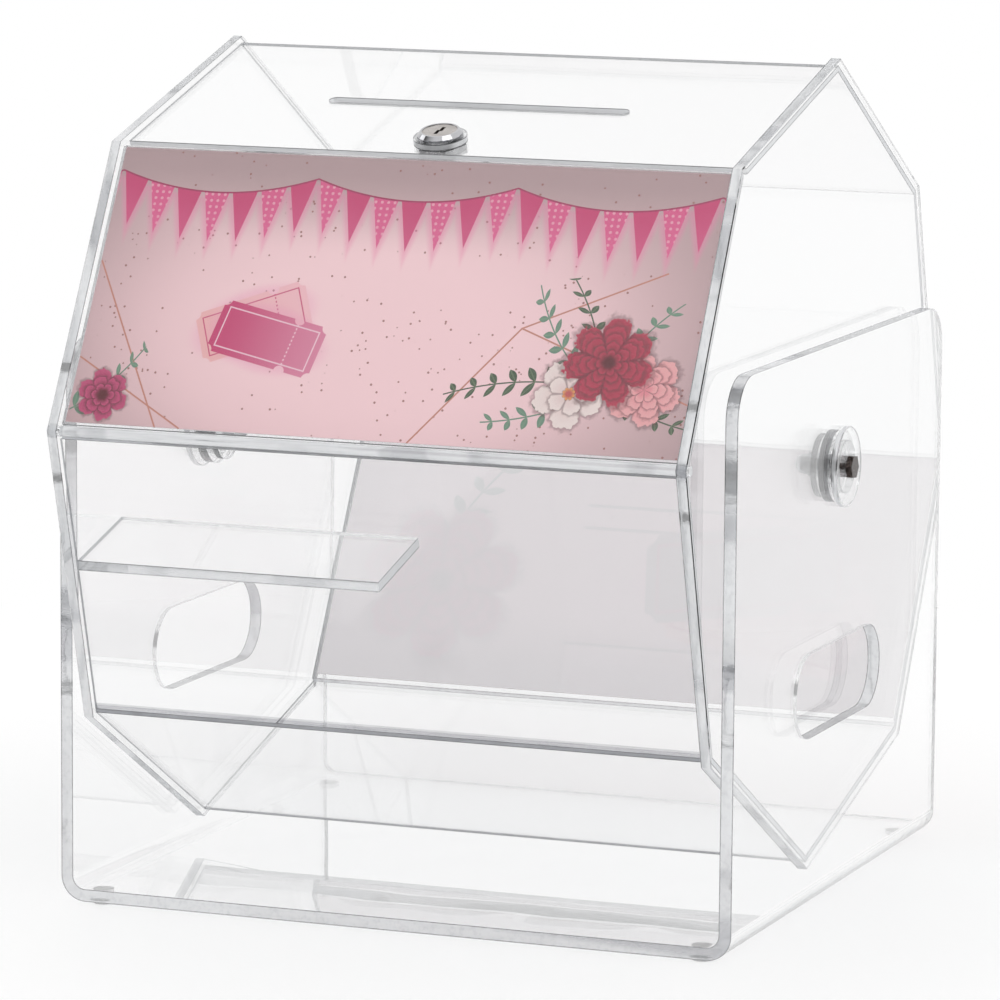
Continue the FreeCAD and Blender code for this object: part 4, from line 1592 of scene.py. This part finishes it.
@dataclass
class Studio:
    """The pale floor, the white room and the soft lamps."""

    floor_radius: float = 14.0
    floor_sides: int = 96
    paper_dark: Colour = (0.80, 0.80, 0.80)
    paper_pale: Colour = (0.83, 0.83, 0.83)
    shade_start: float = 0.25
    shade_reach: float = 0.8
    glow_share: float = 0.5
    glow_strength: float = 1.16
    room_light: float = 0.84
    front_dim: float = 0.80
    side_dim: float = 0.60
    lamps: tuple[Lamp, ...] = (Lamp("key_lamp", (1.7, -1.3, 2.4), 1.8, 15.0),
                               Lamp("fill_lamp", (-2.6, -0.3, 1.5), 1.4, 9.0))

    def floor_paper(self) -> bpy.types.Material:
        """Build the floor's paper. Seen directly or through glass it glows, and far away it is white.

        Returns:
            The material.
        """
        material, graph, shader, output = new_material("floor_paper")
        place = graph.node("ShaderNodeTexCoord").outputs["Object"]
        tooth = graph.noise(place, 300.0, 3.0)
        graph.feed(shader.inputs["Base Color"], graph.mix(tooth, self.paper_dark, self.paper_pale))
        shader.inputs["Roughness"].default_value = 0.6
        white = graph.node("ShaderNodeEmission")
        light = graph.node("ShaderNodeLightPath")
        bent = graph.larger(light.outputs["Is Glossy Ray"], light.outputs["Is Transmission Ray"])
        seen = graph.larger(light.outputs["Is Camera Ray"], bent)
        far = graph.ease(graph.length(place), self.shade_start, self.shade_reach)
        graph.feed(white.inputs["Color"], WHITE)
        graph.feed(white.inputs["Strength"], graph.blend(far, self.glow_strength, 1.0))
        share = seen * graph.blend(far, self.glow_share, 1.0)
        graph.feed(output.inputs["Surface"], graph.shaders(share, shader.outputs[0], white.outputs[0]))
        return material

    def floor(self) -> None:
        """Make the round floor, which keeps the drum's shadow and fades to white far away."""
        mesh = bpy.data.meshes.new("floor")
        shape = bmesh.new()
        bmesh.ops.create_circle(shape, cap_ends=True, segments=self.floor_sides, radius=self.floor_radius)
        shape.to_mesh(mesh)
        shape.free()
        mesh.materials.append(self.floor_paper())
        floor = put_in_scene("floor", mesh)
        log.info("made the floor")

    def room(self) -> None:
        """Make the white room. Shiny faces see dimmer parts of it, as they do in a studio."""
        world = bpy.data.worlds.new("white_room")
        world.use_nodes = True
        bpy.context.scene.world = world
        graph = Graph(world.node_tree)
        world.node_tree.nodes.clear()
        output = graph.node("ShaderNodeOutputWorld")
        light = graph.node("ShaderNodeLightPath")
        across, along, height = graph.split(graph.node("ShaderNodeTexCoord").outputs["Generated"])
        band = graph.ease(height, 0.10, 0.22) * graph.ease(height, 0.80, 0.62)
        front = 1.0 - band * (graph.ease(along, 0.15, -0.25) * self.front_dim)
        sides = graph.ease(abs(across), 0.60, 0.85) * graph.ease(along, 0.45, 0.0)
        studio = front * (1.0 - sides * self.side_dim)
        bent = graph.larger(light.outputs["Is Glossy Ray"], light.outputs["Is Transmission Ray"])
        lit = graph.blend(bent, self.room_light, studio)
        sky = graph.node("ShaderNodeBackground")
        graph.feed(sky.inputs["Color"], WHITE)
        graph.feed(sky.inputs["Strength"], graph.blend(light.outputs["Is Camera Ray"], lit, 1.0))
        graph.feed(output.inputs["Surface"], sky.outputs[0])
        log.info("made the room")

    def build(self) -> None:
        """Make the whole studio."""
        self.floor()
        self.room()
        for lamp in self.lamps:
            lamp.build()
        bpy.context.scene.view_settings.view_transform = "Standard"


@dataclass
class PhotoCamera:
    """The camera, placed about the axle as the photograph was taken. Its angles are in degrees."""

    azimuth: float = 21.194
    elevation: float = 8.787
    roll: float = 0.439
    distance: float = 2.8494
    focal_pixels: float = 5969.1
    image_side: float = 1000.0
    axle_pixel: Point = (511.2, 445.2)
    sensor_width: float = 36.0

    def build(self) -> None:
        """Make the camera and set it as the scene's."""
        turn, rise, lean = (math.radians(angle) for angle in (self.azimuth, self.elevation, self.roll))
        back = Vector((math.sin(turn) * math.cos(rise), -math.cos(turn) * math.cos(rise), math.sin(rise)))
        level = Vector((math.cos(turn), math.sin(turn), 0.0))
        upright = back.cross(level)
        right = level * math.cos(lean) + upright * math.sin(lean)
        up = upright * math.cos(lean) - level * math.sin(lean)
        per_pixel = self.distance / self.focal_pixels
        middle = self.image_side / 2
        place = AXLE + back * self.distance
        place -= right * (self.axle_pixel[0] - middle) * per_pixel
        place += up * (self.axle_pixel[1] - middle) * per_pixel
        data = bpy.data.cameras.new("photo_camera")
        data.sensor_width = self.sensor_width
        data.lens = self.focal_pixels / self.image_side * data.sensor_width
        data.clip_end = 100.0
        camera = put_in_scene("photo_camera", data)
        turned = Matrix((right, up, back)).transposed().to_4x4()
        camera.matrix_world = Matrix.Translation(place) @ turned
        bpy.context.scene.camera = camera
        log.info("made the camera")


def light_through_sheets(bounces: int = 32, clear_bounces: int = 48) -> None:
    """Let light pass through the many clear sheets that stand behind each other.

    Args:
        bounces: How many faces a ray may bend or bounce at.
        clear_bounces: How many faces it may pass straight.
    """
    cycles = bpy.context.scene.cycles
    cycles.max_bounces = bounces
    cycles.transmission_bounces = bounces
    cycles.glossy_bounces = bounces
    cycles.transparent_max_bounces = clear_bounces


def main() -> None:
    """Build the camera, the studio and each sub-assembly in order."""
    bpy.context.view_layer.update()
    PhotoCamera().build()
    Studio().build()
    light_through_sheets()
    door_pocket = Pocket(Wall.DOOR, "door", "door_panel", "sign_pocket_rim", "sign_cover", "sign_card",
                         PrintedCard())
    rear_pocket = Pocket(Wall.REAR_LOWER, "drum", "rear_panel_lower", "rear_pocket_rim", "rear_sign_cover",
                         "rear_sign_card", RearCard())
    for assembly in (Cradle(), Drum(), Hubs(), Door(), door_pocket, rear_pocket, Lock()):
        assembly.build()
        log.info("built %s", type(assembly).__name__)


if __name__ == "__main__":
    main()
